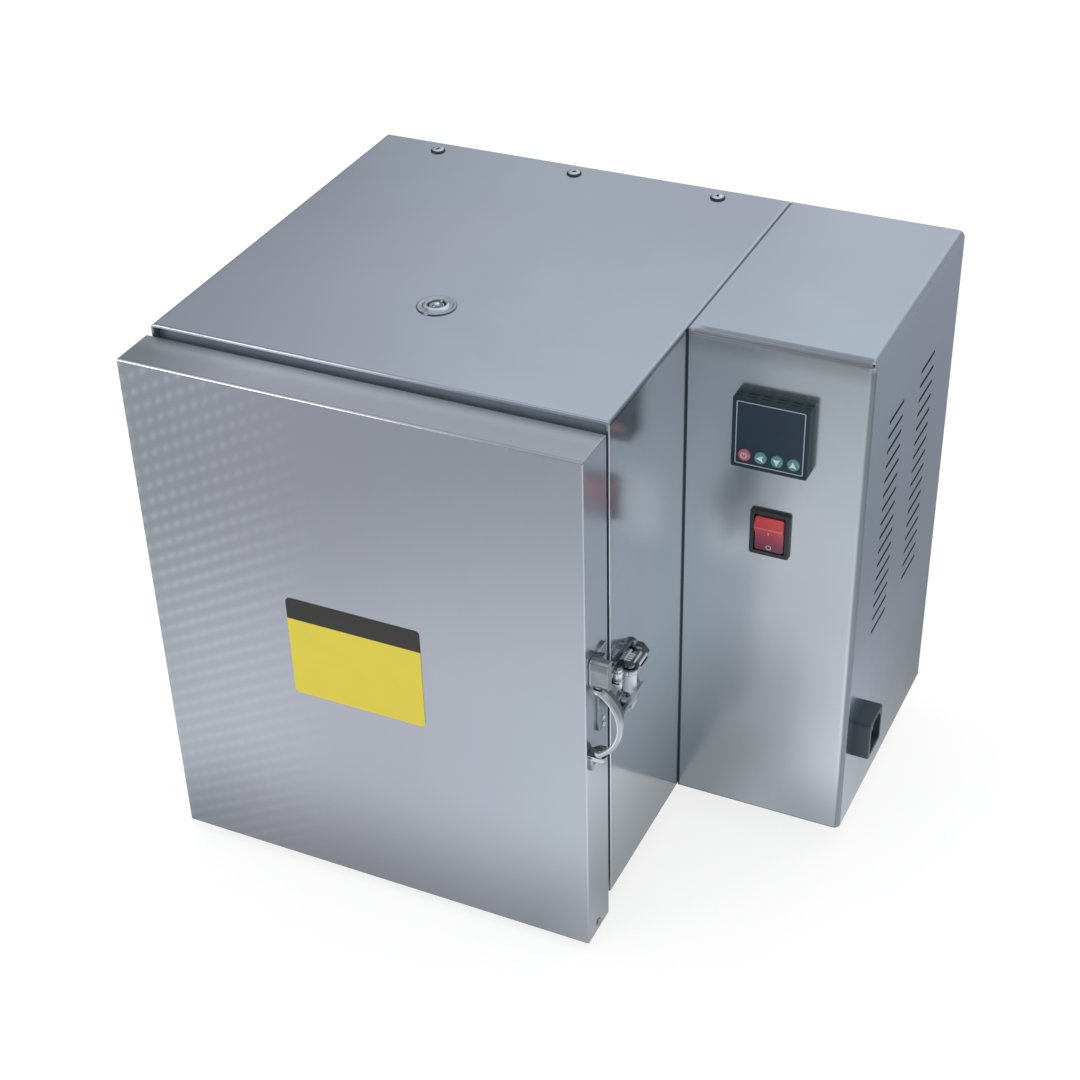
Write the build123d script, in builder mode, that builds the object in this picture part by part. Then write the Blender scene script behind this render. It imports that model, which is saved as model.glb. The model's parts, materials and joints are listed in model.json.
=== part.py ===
from build123d import *
import os

# Bench-top burnout furnace: an insulated cabinet with a hinged door and a control box on its side.
# Millimetres. +Z is up, the door faces -Y, and the origin is on the floor under the middle of the whole.

os.makedirs("parts", exist_ok=True)

# Driving sizes of the cabinet
cabinet_width = 300.0
cabinet_depth = 300.0
cabinet_height = 354.0
foot_height = 25.0
wrap_sheet = 2.0
panel_sheet = 1.5

# Driving sizes of the door
door_width = 302.0
door_height = 364.0
door_thickness = 32.0
door_gap = 2.0
door_below_top = 7.0
door_overlap_right = -1.0
door_sheet = 1.5
label_sheet = 0.4

# Driving sizes of the control box
control_width = 115.0
control_setback = 116.0
control_bend = 4.5

# Driving sizes of the chamber
chamber_width = 180.0
chamber_height = 190.0
chamber_length = 215.0
muffle_wall = 14.0
frame_setback = 6.0
lining_gap = 3.5

# What stands out furthest left and right: a hinge barrel and the mains inlet
hinge_axis_out = 8.0
hinge_barrel_radius = 5.0
inlet_out = 10.5

# Outer limits and the faces that everything is placed from
overall_length = hinge_axis_out + hinge_barrel_radius + cabinet_width + control_width + inlet_out
overall_depth = label_sheet + door_thickness + door_gap + cabinet_depth
left = -overall_length / 2 + hinge_axis_out + hinge_barrel_radius
right = left + cabinet_width
centre = (left + right) / 2
front = -overall_depth / 2 + label_sheet + door_thickness + door_gap
back = front + cabinet_depth
bottom = foot_height
top = bottom + cabinet_height
middle_height = (bottom + top) / 2

door_right = right + door_overlap_right
door_left = door_right - door_width
door_back = front - door_gap
door_front = door_back - door_thickness
door_top = top - door_below_top
door_bottom = door_top - door_height

control_right = right + control_width
control_front = front + control_setback

frame_front = front + frame_setback
frame_back = frame_front + wrap_sheet
muffle_half_width = chamber_width / 2 + muffle_wall
muffle_half_height = chamber_height / 2 + muffle_wall
chamber_floor = middle_height - chamber_height / 2
chamber_ceiling = middle_height + chamber_height / 2
chamber_left = centre - chamber_width / 2
chamber_right = centre + chamber_width / 2
chamber_back = frame_back + chamber_length
muffle_end = chamber_back + muffle_wall


def facing_front(y):
    # A plane across the furnace at depth y: local x is X, local y is Z, and extrude goes towards -Y.
    return Plane.XZ.offset(-y)


def facing_right(x):
    # A plane along the furnace at x: local x is Y, local y is Z, and extrude goes towards +X.
    return Plane.YZ.offset(x)


def block(x_span, y_span, z_span, mode=Mode.ADD):
    # A rectangular solid between three pairs of coordinates, in the part being built.
    with BuildSketch(Plane.XY.offset(z_span[0])) as outline:
        with Locations(((x_span[0] + x_span[1]) / 2, (y_span[0] + y_span[1]) / 2)):
            Rectangle(x_span[1] - x_span[0], y_span[1] - y_span[0])
    extrude(outline.sketch, amount=z_span[1] - z_span[0], mode=mode)


# Screw sizes: radius and height of the head, radius of the shank
large_screw = (4.0, 1.8, 2.0)
hinge_screw = (3.2, 1.4, 1.5)
strike_screw = (3.0, 1.8, 1.5)
small_screw = (2.8, 1.2, 1.4)
screw_hole_play = 0.1
screw_head_taper = 22.0
cross_length_share = 1.1
cross_width_share = 0.28
cross_depth_share = 0.5


def screw(at, facing, kind, grip):
    # A cross-head screw, in the part being built: its head stands at the point and faces away from it.
    head_radius, head_height, shank_radius = kind
    place = Plane(origin=at, z_dir=facing)
    cross_length = head_radius * cross_length_share
    cross_width = head_radius * cross_width_share
    with BuildSketch(place) as head:
        Circle(head_radius)
    extrude(head.sketch, amount=head_height, taper=screw_head_taper)
    with BuildSketch(place.offset(head_height * (1 - cross_depth_share))) as cross:
        Rectangle(cross_length, cross_width)
        Rectangle(cross_width, cross_length)
    extrude(cross.sketch, amount=head_height, mode=Mode.SUBTRACT)
    with BuildSketch(place) as shank:
        Circle(shank_radius)
    extrude(shank.sketch, amount=-grip)


def screw_hole(at, facing, kind, grip):
    # The hole for the same screw, through the part being built.
    with BuildSketch(Plane(origin=at, z_dir=facing)) as hole:
        Circle(kind[2] + screw_hole_play)
    extrude(hole.sketch, amount=-grip, mode=Mode.SUBTRACT)


# Cabinet wrap: one sheet bent over the left side, the top and the right side

wrap_bend = 2.5
wrap_front_edge = 0.5
top_screw_pitch = 103.0
top_screw_inset = 12.0
top_screw_grip = 5.0
vent_x = centre
vent_y = front + 85.0
vent_tube_radius = 6.0
vent_tube_play = 0.2
probe_y = front + 180.0
probe_z = chamber_ceiling - 12.0
probe_radius = 3.0
probe_sheet_hole_radius = 3.05
probe_board_hole_radius = 4.0
top_screw_places = [
    (centre + column * top_screw_pitch, back - top_screw_inset, top)
    for column in (-1, 0, 1)
]

with BuildPart() as cabinet_wrap:
    with BuildSketch(facing_front(back)) as wrap_section:
        with Locations((centre, middle_height)):
            Rectangle(cabinet_width, cabinet_height)
        fillet(wrap_section.vertices().group_by(Axis.Z)[-1], wrap_bend)
        with Locations((centre, middle_height - wrap_sheet)):
            Rectangle(cabinet_width - 2 * wrap_sheet, cabinet_height, mode=Mode.SUBTRACT)
    extrude(amount=cabinet_depth)
    fillet(cabinet_wrap.faces().sort_by(Axis.Y)[0].edges(), wrap_front_edge)
    with BuildSketch(Plane.XY.offset(top)):
        with Locations((vent_x, vent_y)):
            Circle(vent_tube_radius + vent_tube_play)
    extrude(amount=-2 * wrap_sheet, mode=Mode.SUBTRACT)
    for place in top_screw_places:
        screw_hole(place, (0, 0, 1), large_screw, wrap_sheet)
    with BuildSketch(facing_right(right)):
        with Locations((probe_y, probe_z)):
            Circle(probe_sheet_hole_radius)
    extrude(amount=-2 * wrap_sheet, mode=Mode.SUBTRACT)
cabinet_wrap.part.label = "cabinet_wrap"

# Front frame: a flanged plate with the chamber's mouth, set back behind the front edge of the wrap

mouth_clearance = 2.0
frame_flange_depth = 14.0
inner_left = left + wrap_sheet
inner_right = right - wrap_sheet
inner_top = top - wrap_sheet

with BuildPart() as front_frame:
    block(
        (inner_left, inner_right),
        (frame_front, frame_back + frame_flange_depth),
        (bottom, inner_top),
    )
    block(
        (inner_left + panel_sheet, inner_right - panel_sheet),
        (frame_back, back),
        (bottom + panel_sheet, inner_top - panel_sheet),
        mode=Mode.SUBTRACT,
    )
    with BuildSketch(facing_front(frame_front)):
        with Locations((centre, middle_height)):
            Rectangle(chamber_width + 2 * mouth_clearance, chamber_height + 2 * mouth_clearance)
    extrude(amount=-wrap_sheet, mode=Mode.SUBTRACT)
front_frame.part.label = "front_frame"

# Back panel: a shallow tray that closes the wrap from behind

back_flange_depth = 18.0

with BuildPart() as back_panel:
    block((inner_left, inner_right), (back - back_flange_depth, back), (bottom, inner_top))
    block(
        (inner_left + panel_sheet, inner_right - panel_sheet),
        (front, back - panel_sheet),
        (bottom + panel_sheet, inner_top - panel_sheet),
        mode=Mode.SUBTRACT,
    )
    for place in top_screw_places:
        screw_hole(place, (0, 0, 1), large_screw, top_screw_grip)
back_panel.part.label = "back_panel"

# Base panel between the flanges of the front frame and the back panel

foot_inset = 40.0
foot_bolt_radius = 2.5
foot_pitch_x = cabinet_width - 2 * foot_inset
foot_pitch_y = cabinet_depth - 2 * foot_inset
flange_gap = 0.5
base_front = frame_back + frame_flange_depth + flange_gap
base_back = back - back_flange_depth - flange_gap

with BuildPart() as base_panel:
    block((inner_left, inner_right), (base_front, base_back), (bottom, bottom + panel_sheet))
    with BuildSketch(Plane.XY.offset(bottom)):
        with Locations((centre, (front + back) / 2)):
            with GridLocations(foot_pitch_x, foot_pitch_y, 2, 2):
                Circle(foot_bolt_radius)
    extrude(amount=panel_sheet, mode=Mode.SUBTRACT)
base_panel.part.label = "base_panel"

# Four rubber feet, each with a stud riveted up through the base

foot_top_radius = 15.0
foot_taper = 6.0
foot_stud_play = 0.02

with BuildPart() as feet:
    with BuildSketch(Plane.XY.offset(bottom)):
        with Locations((centre, (front + back) / 2)):
            with GridLocations(foot_pitch_x, foot_pitch_y, 2, 2):
                Circle(foot_top_radius)
    extrude(amount=-foot_height, taper=foot_taper)
    with BuildSketch(Plane.XY.offset(bottom)):
        with Locations((centre, (front + back) / 2)):
            with GridLocations(foot_pitch_x, foot_pitch_y, 2, 2):
                Circle(foot_bolt_radius - foot_stud_play)
    extrude(amount=panel_sheet)
feet.part.label = "feet"

with BuildPart() as top_screws:
    for place in top_screw_places:
        screw(place, (0, 0, 1), large_screw, top_screw_grip)
top_screws.part.label = "top_screws"

# Insulating boards on the base panel, between the cabinet and the chamber, sealed in behind the front frame

lining_left = inner_left + lining_gap
lining_right = inner_right - lining_gap
lining_top = inner_top - lining_gap
lining_bottom = bottom + panel_sheet
lining_back = back - panel_sheet - lining_gap
muffle_left = centre - muffle_half_width
muffle_right = centre + muffle_half_width
muffle_top = middle_height + muffle_half_height
muffle_bottom = middle_height - muffle_half_height

with BuildPart() as insulation_left:
    block((lining_left, muffle_left), (frame_back, lining_back), (lining_bottom, lining_top))
insulation_left.part.label = "insulation_left"

with BuildPart() as insulation_right:
    block((muffle_right, lining_right), (frame_back, lining_back), (lining_bottom, lining_top))
    with BuildSketch(facing_right(lining_right)):
        with Locations((probe_y, probe_z)):
            Circle(probe_board_hole_radius)
    extrude(amount=muffle_right - lining_right, mode=Mode.SUBTRACT)
insulation_right.part.label = "insulation_right"

with BuildPart() as insulation_roof:
    block((muffle_left, muffle_right), (frame_back, lining_back), (muffle_top, lining_top))
    with BuildSketch(Plane.XY.offset(lining_top)):
        with Locations((vent_x, vent_y)):
            Circle(vent_tube_radius + vent_tube_play)
    extrude(amount=muffle_top - lining_top, mode=Mode.SUBTRACT)
insulation_roof.part.label = "insulation_roof"

with BuildPart() as insulation_floor:
    block((muffle_left, muffle_right), (frame_back, lining_back), (lining_bottom, muffle_bottom))
insulation_floor.part.label = "insulation_floor"

with BuildPart() as insulation_back:
    block((muffle_left, muffle_right), (muffle_end, lining_back), (muffle_bottom, muffle_top))
insulation_back.part.label = "insulation_back"

# Muffle: the refractory chamber, made of two grooved side plates, a roof, a floor and a back plate

element_radius = 4.0
groove_radius = 5.0
element_sink = 1.0
element_count = 5
element_pitch = 32.0
element_length = 200.0
element_drop = groove_radius - element_radius - 0.05
groove_length = 212.0
element_front = frame_back + 8.0
element_levels = [
    middle_height + (row - (element_count - 1) / 2) * element_pitch
    for row in range(element_count)
]
groove_places = [
    (x, level)
    for x in (chamber_left - element_sink, chamber_right + element_sink)
    for level in element_levels
]
element_places = [(x, level - element_drop) for x, level in groove_places]

with BuildPart() as muffle_side_plates:
    block((muffle_left, chamber_left), (frame_back, muffle_end), (muffle_bottom, muffle_top))
    block((chamber_right, muffle_right), (frame_back, muffle_end), (muffle_bottom, muffle_top))
    with BuildSketch(facing_front(frame_back)):
        with Locations(*groove_places):
            Circle(groove_radius)
    extrude(amount=-groove_length, mode=Mode.SUBTRACT)
    with BuildSketch(facing_right(muffle_right)):
        with Locations((probe_y, probe_z)):
            Circle(probe_board_hole_radius)
    extrude(amount=-muffle_wall, mode=Mode.SUBTRACT)
muffle_side_plates.part.label = "muffle_side_plates"

with BuildPart() as muffle_roof_floor:
    block((chamber_left, chamber_right), (frame_back, muffle_end), (chamber_ceiling, muffle_top))
    block((chamber_left, chamber_right), (frame_back, muffle_end), (muffle_bottom, chamber_floor))
    with BuildSketch(Plane.XY.offset(muffle_top)):
        with Locations((vent_x, vent_y)):
            Circle(vent_tube_radius + vent_tube_play)
    extrude(amount=-muffle_wall, mode=Mode.SUBTRACT)
muffle_roof_floor.part.label = "muffle_roof_floor"

with BuildPart() as muffle_back_plate:
    block((chamber_left, chamber_right), (chamber_back, muffle_end), (chamber_floor, chamber_ceiling))
muffle_back_plate.part.label = "muffle_back_plate"

with BuildPart() as heating_elements:
    with BuildSketch(facing_front(element_front)):
        with Locations(*element_places):
            Circle(element_radius)
    extrude(amount=-element_length)
heating_elements.part.label = "heating_elements"

hearth_thickness = 6.0
hearth_side_gap = 5.0
hearth_front_gap = 12.0
hearth_back_gap = 3.0

with BuildPart() as hearth_plate:
    block(
        (chamber_left + hearth_side_gap, chamber_right - hearth_side_gap),
        (frame_back + hearth_front_gap, chamber_back - hearth_back_gap),
        (chamber_floor, chamber_floor + hearth_thickness),
    )
hearth_plate.part.label = "hearth_plate"

# Temperature probe through the right wall into the chamber, its head on the inner side of the control box

probe_reach = 15.0
probe_inner_end = chamber_right - probe_reach
probe_outer_end = right + panel_sheet
probe_head_size = 18.0
probe_head_corner = 3.0

with BuildPart() as probe_sheath:
    with BuildSketch(facing_right(probe_inner_end)):
        with Locations((probe_y, probe_z)):
            Circle(probe_radius)
    extrude(amount=probe_outer_end - probe_inner_end)
probe_sheath.part.label = "probe_sheath"

with BuildPart() as probe_head:
    with BuildSketch(facing_right(probe_outer_end)):
        with Locations((probe_y, probe_z)):
            RectangleRounded(probe_head_size, probe_head_size, probe_head_corner)
    extrude(amount=probe_head_size)
probe_head.part.label = "probe_head"

# Fume vent in the roof: a flanged bush with a lift-out plug

vent_flange_radius = 12.5
vent_flange_height = 1.8
vent_collar_radius = 7.3
vent_collar_height = 4.5
vent_recess_radius = 5.2
vent_recess_depth = 5.5
vent_bore_radius = 4.0
vent_play = 0.3
vent_rim_edge = 0.8
plug_knob_edge = 1.0
plug_head_height = 2.0
plug_knob_radius = 2.8
plug_knob_height = 2.9
plug_stem_length = 20.0
vent_rim = top + vent_collar_height
vent_step = vent_rim - vent_recess_depth

with BuildPart() as vent_bush:
    with BuildSketch(Plane.XY.offset(top)):
        with Locations((vent_x, vent_y)):
            Circle(vent_flange_radius)
    extrude(amount=vent_flange_height)
    with BuildSketch(Plane.XY.offset(top)):
        with Locations((vent_x, vent_y)):
            Circle(vent_collar_radius)
    extrude(amount=vent_collar_height)
    fillet(vent_bush.faces().sort_by(Axis.Z)[-1].edges(), vent_rim_edge)
    with BuildSketch(Plane.XY.offset(chamber_ceiling)):
        with Locations((vent_x, vent_y)):
            Circle(vent_tube_radius)
    extrude(amount=top - chamber_ceiling)
    with BuildSketch(Plane.XY.offset(vent_step)):
        with Locations((vent_x, vent_y)):
            Circle(vent_recess_radius)
    extrude(amount=vent_recess_depth, mode=Mode.SUBTRACT)
    with BuildSketch(Plane.XY.offset(chamber_ceiling)):
        with Locations((vent_x, vent_y)):
            Circle(vent_bore_radius)
    extrude(amount=vent_rim - chamber_ceiling, mode=Mode.SUBTRACT)
vent_bush.part.label = "vent_bush"

with BuildPart() as vent_plug:
    with BuildSketch(Plane.XY.offset(vent_step + vent_play)):
        with Locations((vent_x, vent_y)):
            Circle(vent_recess_radius - vent_play)
    extrude(amount=plug_head_height)
    with BuildSketch(Plane.XY.offset(vent_step + vent_play)):
        with Locations((vent_x, vent_y)):
            Circle(plug_knob_radius)
    extrude(amount=plug_head_height + plug_knob_height)
    fillet(vent_plug.faces().sort_by(Axis.Z)[-1].edges(), plug_knob_edge)
    with BuildSketch(Plane.XY.offset(vent_step + vent_play)):
        with Locations((vent_x, vent_y)):
            Circle(vent_bore_radius - vent_play)
    extrude(amount=-plug_stem_length)
vent_plug.part.label = "vent_plug"

# Door: a folded pan closed by a liner, filled with insulation, with a plug that enters the chamber's mouth

door_edge = 1.0
door_corner = 0.9
door_screw_inset = 6.0
door_screw_depth = door_thickness / 2
door_screw_y = door_back - door_screw_depth
door_screw_z = door_bottom + door_screw_inset
plug_side_clearance = 5.0
plug_reach = 19.0
liner_front = door_back - door_sheet

with BuildPart() as door_skin:
    block((door_left, door_right), (door_front, door_back), (door_bottom, door_top))
    fillet(door_skin.faces().sort_by(Axis.Y)[0].edges(), door_edge)
    fillet(door_skin.edges().filter_by(Axis.Y), door_corner)
    block(
        (door_left + door_sheet, door_right - door_sheet),
        (door_front + door_sheet, door_back),
        (door_bottom + door_sheet, door_top - door_sheet),
        mode=Mode.SUBTRACT,
    )
    screw_hole((door_right, door_screw_y, door_screw_z), (1, 0, 0), small_screw, door_sheet)
    screw_hole((door_left, door_screw_y, door_screw_z), (-1, 0, 0), small_screw, door_sheet)
door_skin.part.label = "door_skin"

with BuildPart() as door_liner:
    block(
        (door_left + door_sheet, door_right - door_sheet),
        (liner_front, door_back),
        (door_bottom + door_sheet, door_top - door_sheet),
    )
door_liner.part.label = "door_liner"

with BuildPart() as door_insulation:
    block(
        (door_left + door_sheet, door_right - door_sheet),
        (door_front + door_sheet, liner_front),
        (door_bottom + door_sheet, door_top - door_sheet),
    )
door_insulation.part.label = "door_insulation"

door_plug_width = chamber_width - 2 * plug_side_clearance
door_plug_height = chamber_height - 2 * plug_side_clearance
door_plug_chamfer = 3.0

with BuildPart() as door_plug:
    with BuildSketch(facing_front(door_back)):
        with Locations((centre, middle_height)):
            Rectangle(door_plug_width, door_plug_height)
    extrude(amount=-plug_reach)
    chamfer(door_plug.faces().sort_by(Axis.Y)[-1].edges(), door_plug_chamfer)
door_plug.part.label = "door_plug"

# Retaining frame round the plug, screwed to the liner

plug_frame_border = 14.0
plug_frame_sheet = 1.5
plug_frame_play = 0.2
plug_screw_x = (door_plug_width + plug_frame_border) / 2
plug_screw_z = (door_plug_height + plug_frame_border) / 2
plug_screw_places = [
    (centre + side * plug_screw_x, door_back + plug_frame_sheet, middle_height + level * plug_screw_z)
    for side in (-1, 1)
    for level in (-1, 1)
]

with BuildPart() as plug_frame:
    with BuildSketch(facing_front(door_back)):
        with Locations((centre, middle_height)):
            Rectangle(door_plug_width + 2 * plug_frame_border, door_plug_height + 2 * plug_frame_border)
            Rectangle(
                door_plug_width + 2 * plug_frame_play,
                door_plug_height + 2 * plug_frame_play,
                mode=Mode.SUBTRACT,
            )
    extrude(amount=-plug_frame_sheet)
    for place in plug_screw_places:
        screw_hole(place, (0, 1, 0), small_screw, plug_frame_sheet)
plug_frame.part.label = "plug_frame"

with BuildPart() as plug_screws:
    for place in plug_screw_places:
        screw(place, (0, 1, 0), small_screw, plug_frame_sheet)
plug_screws.part.label = "plug_screws"

# Screws in the door's side flanges, low down, that hold the liner

with BuildPart() as door_screws:
    screw((door_right, door_screw_y, door_screw_z), (1, 0, 0), small_screw, door_sheet)
    screw((door_left, door_screw_y, door_screw_z), (-1, 0, 0), small_screw, door_sheet)
door_screws.part.label = "door_screws"

# Blank plate on the door's face

label_width = 93.0
label_height = 73.5
label_corner = 3.0
label_from_right = 156.5
label_from_bottom = 165.0
label_x = right - label_from_right
label_z = bottom + label_from_bottom

with BuildPart() as label_plate:
    with BuildSketch(facing_front(door_front)):
        with Locations((label_x, label_z)):
            RectangleRounded(label_width, label_height, label_corner)
    extrude(amount=label_sheet)
label_plate.part.label = "label_plate"

# Two pin hinges on the left side: the cabinet's knuckles stand above and below the door's knuckle

hinge_height = 60.0
hinge_inset = 62.0
hinge_pin_radius = 3.0
hinge_running_gap = 0.06
hinge_knuckle_gap = 0.5
hinge_middle_height = 24.0
hinge_leaf_reach = 26.0
hinge_leaf_start = 7.0
hinge_cabinet_leaf = 3.0
hinge_door_leaf = 2.5
hinge_web_front = 0.5
hinge_web_back = 3.5
hinge_pin_head = 2.0
hinge_pin_taper = 15.0
hinge_screw_spread = 20.0
hinge_axis_x = left - hinge_axis_out
hinge_axis_y = front - door_gap / 2
hinge_levels = [bottom + hinge_inset, top - hinge_inset]
knuckle_height = (hinge_height - hinge_middle_height) / 2 - hinge_knuckle_gap
cabinet_hinge_screw_y = front + hinge_leaf_start + hinge_leaf_reach / 2
door_hinge_screw_y = door_back - hinge_leaf_start - (hinge_leaf_reach - hinge_leaf_start) / 2
cabinet_hinge_screw_places = [
    (left - hinge_cabinet_leaf, cabinet_hinge_screw_y, level + side * hinge_screw_spread)
    for level in hinge_levels
    for side in (-1, 1)
]
door_hinge_screw_places = [
    (door_left - hinge_door_leaf, door_hinge_screw_y, level + side * hinge_screw_spread)
    for level in hinge_levels
    for side in (-1, 1)
]

with BuildPart() as cabinet_hinge_leaves:
    for level in hinge_levels:
        low = level - hinge_height / 2
        high = level + hinge_height / 2
        block(
            (left - hinge_cabinet_leaf, left),
            (front + hinge_leaf_start, front + hinge_leaf_start + hinge_leaf_reach),
            (low, high),
        )
        for knuckle_low in (low, high - knuckle_height):
            with BuildSketch(Plane.XY.offset(knuckle_low)):
                with Locations((hinge_axis_x, hinge_axis_y)):
                    Circle(hinge_barrel_radius)
            extrude(amount=knuckle_height)
            block(
                (hinge_axis_x, left),
                (front + hinge_web_front, front + hinge_web_back),
                (knuckle_low, knuckle_low + knuckle_height),
            )
            block(
                (left - hinge_cabinet_leaf, left),
                (front + hinge_web_front, front + hinge_leaf_start),
                (knuckle_low, knuckle_low + knuckle_height),
            )
        with BuildSketch(Plane.XY.offset(low)):
            with Locations((hinge_axis_x, hinge_axis_y)):
                Circle(hinge_pin_radius)
        extrude(amount=hinge_height, mode=Mode.SUBTRACT)
    for place in cabinet_hinge_screw_places:
        screw_hole(place, (-1, 0, 0), hinge_screw, hinge_cabinet_leaf)
cabinet_hinge_leaves.part.label = "cabinet_hinge_leaves"

with BuildPart() as door_hinge_leaves:
    for level in hinge_levels:
        low = level - hinge_height / 2
        middle_low = level - hinge_middle_height / 2
        block(
            (door_left - hinge_door_leaf, door_left),
            (door_back - hinge_leaf_reach, door_back - hinge_leaf_start),
            (low, low + hinge_height),
        )
        block(
            (door_left - hinge_door_leaf, door_left),
            (door_back - hinge_leaf_start, door_back),
            (middle_low, middle_low + hinge_middle_height),
        )
        with BuildSketch(Plane.XY.offset(middle_low)):
            with Locations((hinge_axis_x, hinge_axis_y)):
                Circle(hinge_barrel_radius)
        extrude(amount=hinge_middle_height)
        with BuildSketch(Plane.XY.offset(low)):
            with Locations((hinge_axis_x, hinge_axis_y)):
                Circle(hinge_pin_radius + hinge_running_gap)
        extrude(amount=hinge_height, mode=Mode.SUBTRACT)
    for place in door_hinge_screw_places:
        screw_hole(place, (-1, 0, 0), hinge_screw, hinge_door_leaf)
door_hinge_leaves.part.label = "door_hinge_leaves"

with BuildPart() as hinge_pins:
    for level in hinge_levels:
        with BuildSketch(Plane.XY.offset(level - hinge_height / 2)):
            with Locations((hinge_axis_x, hinge_axis_y)):
                Circle(hinge_pin_radius)
        extrude(amount=hinge_height)
        with BuildSketch(Plane.XY.offset(level + hinge_height / 2)):
            with Locations((hinge_axis_x, hinge_axis_y)):
                Circle(hinge_barrel_radius - hinge_knuckle_gap)
        extrude(amount=hinge_pin_head, taper=hinge_pin_taper)
hinge_pins.part.label = "hinge_pins"

with BuildPart() as cabinet_hinge_screws:
    for place in cabinet_hinge_screw_places:
        screw(place, (-1, 0, 0), hinge_screw, hinge_cabinet_leaf)
cabinet_hinge_screws.part.label = "cabinet_hinge_screws"

with BuildPart() as door_hinge_screws:
    for place in door_hinge_screw_places:
        screw(place, (-1, 0, 0), hinge_screw, hinge_door_leaf)
door_hinge_screws.part.label = "door_hinge_screws"

# Latch on the door's right flange: a base with a housing, and a bracket below for the handle's other end

latch_pivot_x = right + 4.5
latch_pivot_y = door_front + 8.5
latch_level = bottom + 164.0
latch_bow_half_height = 25.5
latch_plate_sheet = 2.0
latch_plate_corner = 2.0
housing_height = 20.0
housing_out = 11.0
housing_corner = 2.5
housing_edge = 1.0
housing_groove_width = 0.8
housing_groove_depth = 0.5
housing_groove_level = 12.0
housing_front = door_front + 3.5
housing_back = door_back - 7.0
latch_pin_radius = 2.5
latch_pin_sink = 12.0
latch_pin_stand = 1.0
latch_running_gap = 0.06
tab_thickness = 3.0
tab_play = 0.5
tab_radius = 4.5
bow_top = latch_level + latch_bow_half_height
bow_bottom = latch_level - latch_bow_half_height
housing_low = bow_top + tab_play
bracket_high = bow_bottom - tab_play
bracket_height = 11.5
bracket_front = door_front + 3.5
bracket_back = door_front + 14.5
base_plate_front = door_front + 15.0
base_plate_back = door_back - 4.5
base_plate_low = latch_level - 17.5

with BuildPart() as latch_base:
    with BuildSketch(facing_right(door_right)):
        with Locations(
            (
                (base_plate_front + base_plate_back) / 2,
                (base_plate_low + housing_low + housing_height) / 2,
            )
        ):
            RectangleRounded(
                base_plate_back - base_plate_front,
                housing_low + housing_height - base_plate_low,
                latch_plate_corner,
            )
    extrude(amount=latch_plate_sheet)
    with BuildSketch(facing_right(door_right)):
        with Locations(((housing_front + housing_back) / 2, housing_low + housing_height / 2)):
            RectangleRounded(housing_back - housing_front, housing_height, housing_corner)
    extrude(amount=housing_out)
    fillet(latch_base.faces().sort_by(Axis.X)[-1].edges(), housing_edge)
    with BuildSketch(Plane.XY.offset(housing_low)):
        with Locations((latch_pivot_x, latch_pivot_y)):
            Circle(latch_pin_radius)
    extrude(amount=latch_pin_sink, mode=Mode.SUBTRACT)
    with BuildSketch(facing_front(housing_front)):
        with Locations((door_right + housing_out / 2, housing_low + housing_groove_level)):
            Rectangle(housing_out, housing_groove_width)
    extrude(amount=-housing_groove_depth, mode=Mode.SUBTRACT)
latch_base.part.label = "latch_base"

with BuildPart() as latch_lower_bracket:
    with BuildSketch(facing_right(door_right)):
        with Locations(((bracket_front + bracket_back) / 2, bracket_high - bracket_height / 2)):
            RectangleRounded(bracket_back - bracket_front, bracket_height, latch_plate_corner)
    extrude(amount=latch_plate_sheet)
    with BuildSketch(Plane.XY.offset(bracket_high)):
        with Locations((latch_pivot_x, latch_pivot_y)):
            Circle(tab_radius)
        with Locations(((door_right + latch_pivot_x) / 2, latch_pivot_y)):
            Rectangle(latch_pivot_x - door_right, 2 * tab_radius)
    extrude(amount=-tab_thickness)
    with BuildSketch(Plane.XY.offset(bracket_high)):
        with Locations((latch_pivot_x, latch_pivot_y)):
            Circle(latch_pin_radius)
    extrude(amount=-tab_thickness, mode=Mode.SUBTRACT)
latch_lower_bracket.part.label = "latch_lower_bracket"

# Two pins that the handle turns on, fast in the housing above and in the bracket below

with BuildPart() as latch_pins:
    with BuildSketch(Plane.XY.offset(bow_top - tab_thickness - latch_pin_stand)):
        with Locations((latch_pivot_x, latch_pivot_y)):
            Circle(latch_pin_radius)
    extrude(amount=latch_pin_stand + tab_thickness + tab_play + latch_pin_sink)
    with BuildSketch(Plane.XY.offset(bracket_high - tab_thickness - latch_pin_stand)):
        with Locations((latch_pivot_x, latch_pivot_y)):
            Circle(latch_pin_radius)
    extrude(amount=2 * (latch_pin_stand + tab_thickness) + tab_play)
latch_pins.part.label = "latch_pins"

rivet_height = 0.9
rivet_taper = 30.0
base_rivet_radius = 1.6
base_rivet_y = (base_plate_front + base_plate_back) / 2
base_rivet_levels = [base_plate_low + 4.5, base_plate_low + 9.5]
bracket_rivet_radius = 1.3
bracket_rivet_y = (bracket_front + bracket_back) / 2
bracket_rivet_levels = [bracket_high - 6.0, bracket_high - 9.2]

with BuildPart() as latch_rivets:
    with BuildSketch(facing_right(door_right + latch_plate_sheet)):
        with Locations(*[(base_rivet_y, level) for level in base_rivet_levels]):
            Circle(base_rivet_radius)
        with Locations(*[(bracket_rivet_y, level) for level in bracket_rivet_levels]):
            Circle(bracket_rivet_radius)
    extrude(amount=rivet_height, taper=rivet_taper)
latch_rivets.part.label = "latch_rivets"

# Spring barrel behind the housing

barrel_radius = 4.0
barrel_height = 12.0
barrel_x = right + 8.0
barrel_y = door_back - 5.0
barrel_ring_height = 1.2
barrel_ring_out = 0.5
barrel_web = 4.0
barrel_web_inset = 1.0
barrel_housing_gap = 0.6
barrel_high = housing_low - barrel_housing_gap
barrel_low = barrel_high - barrel_height

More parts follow.
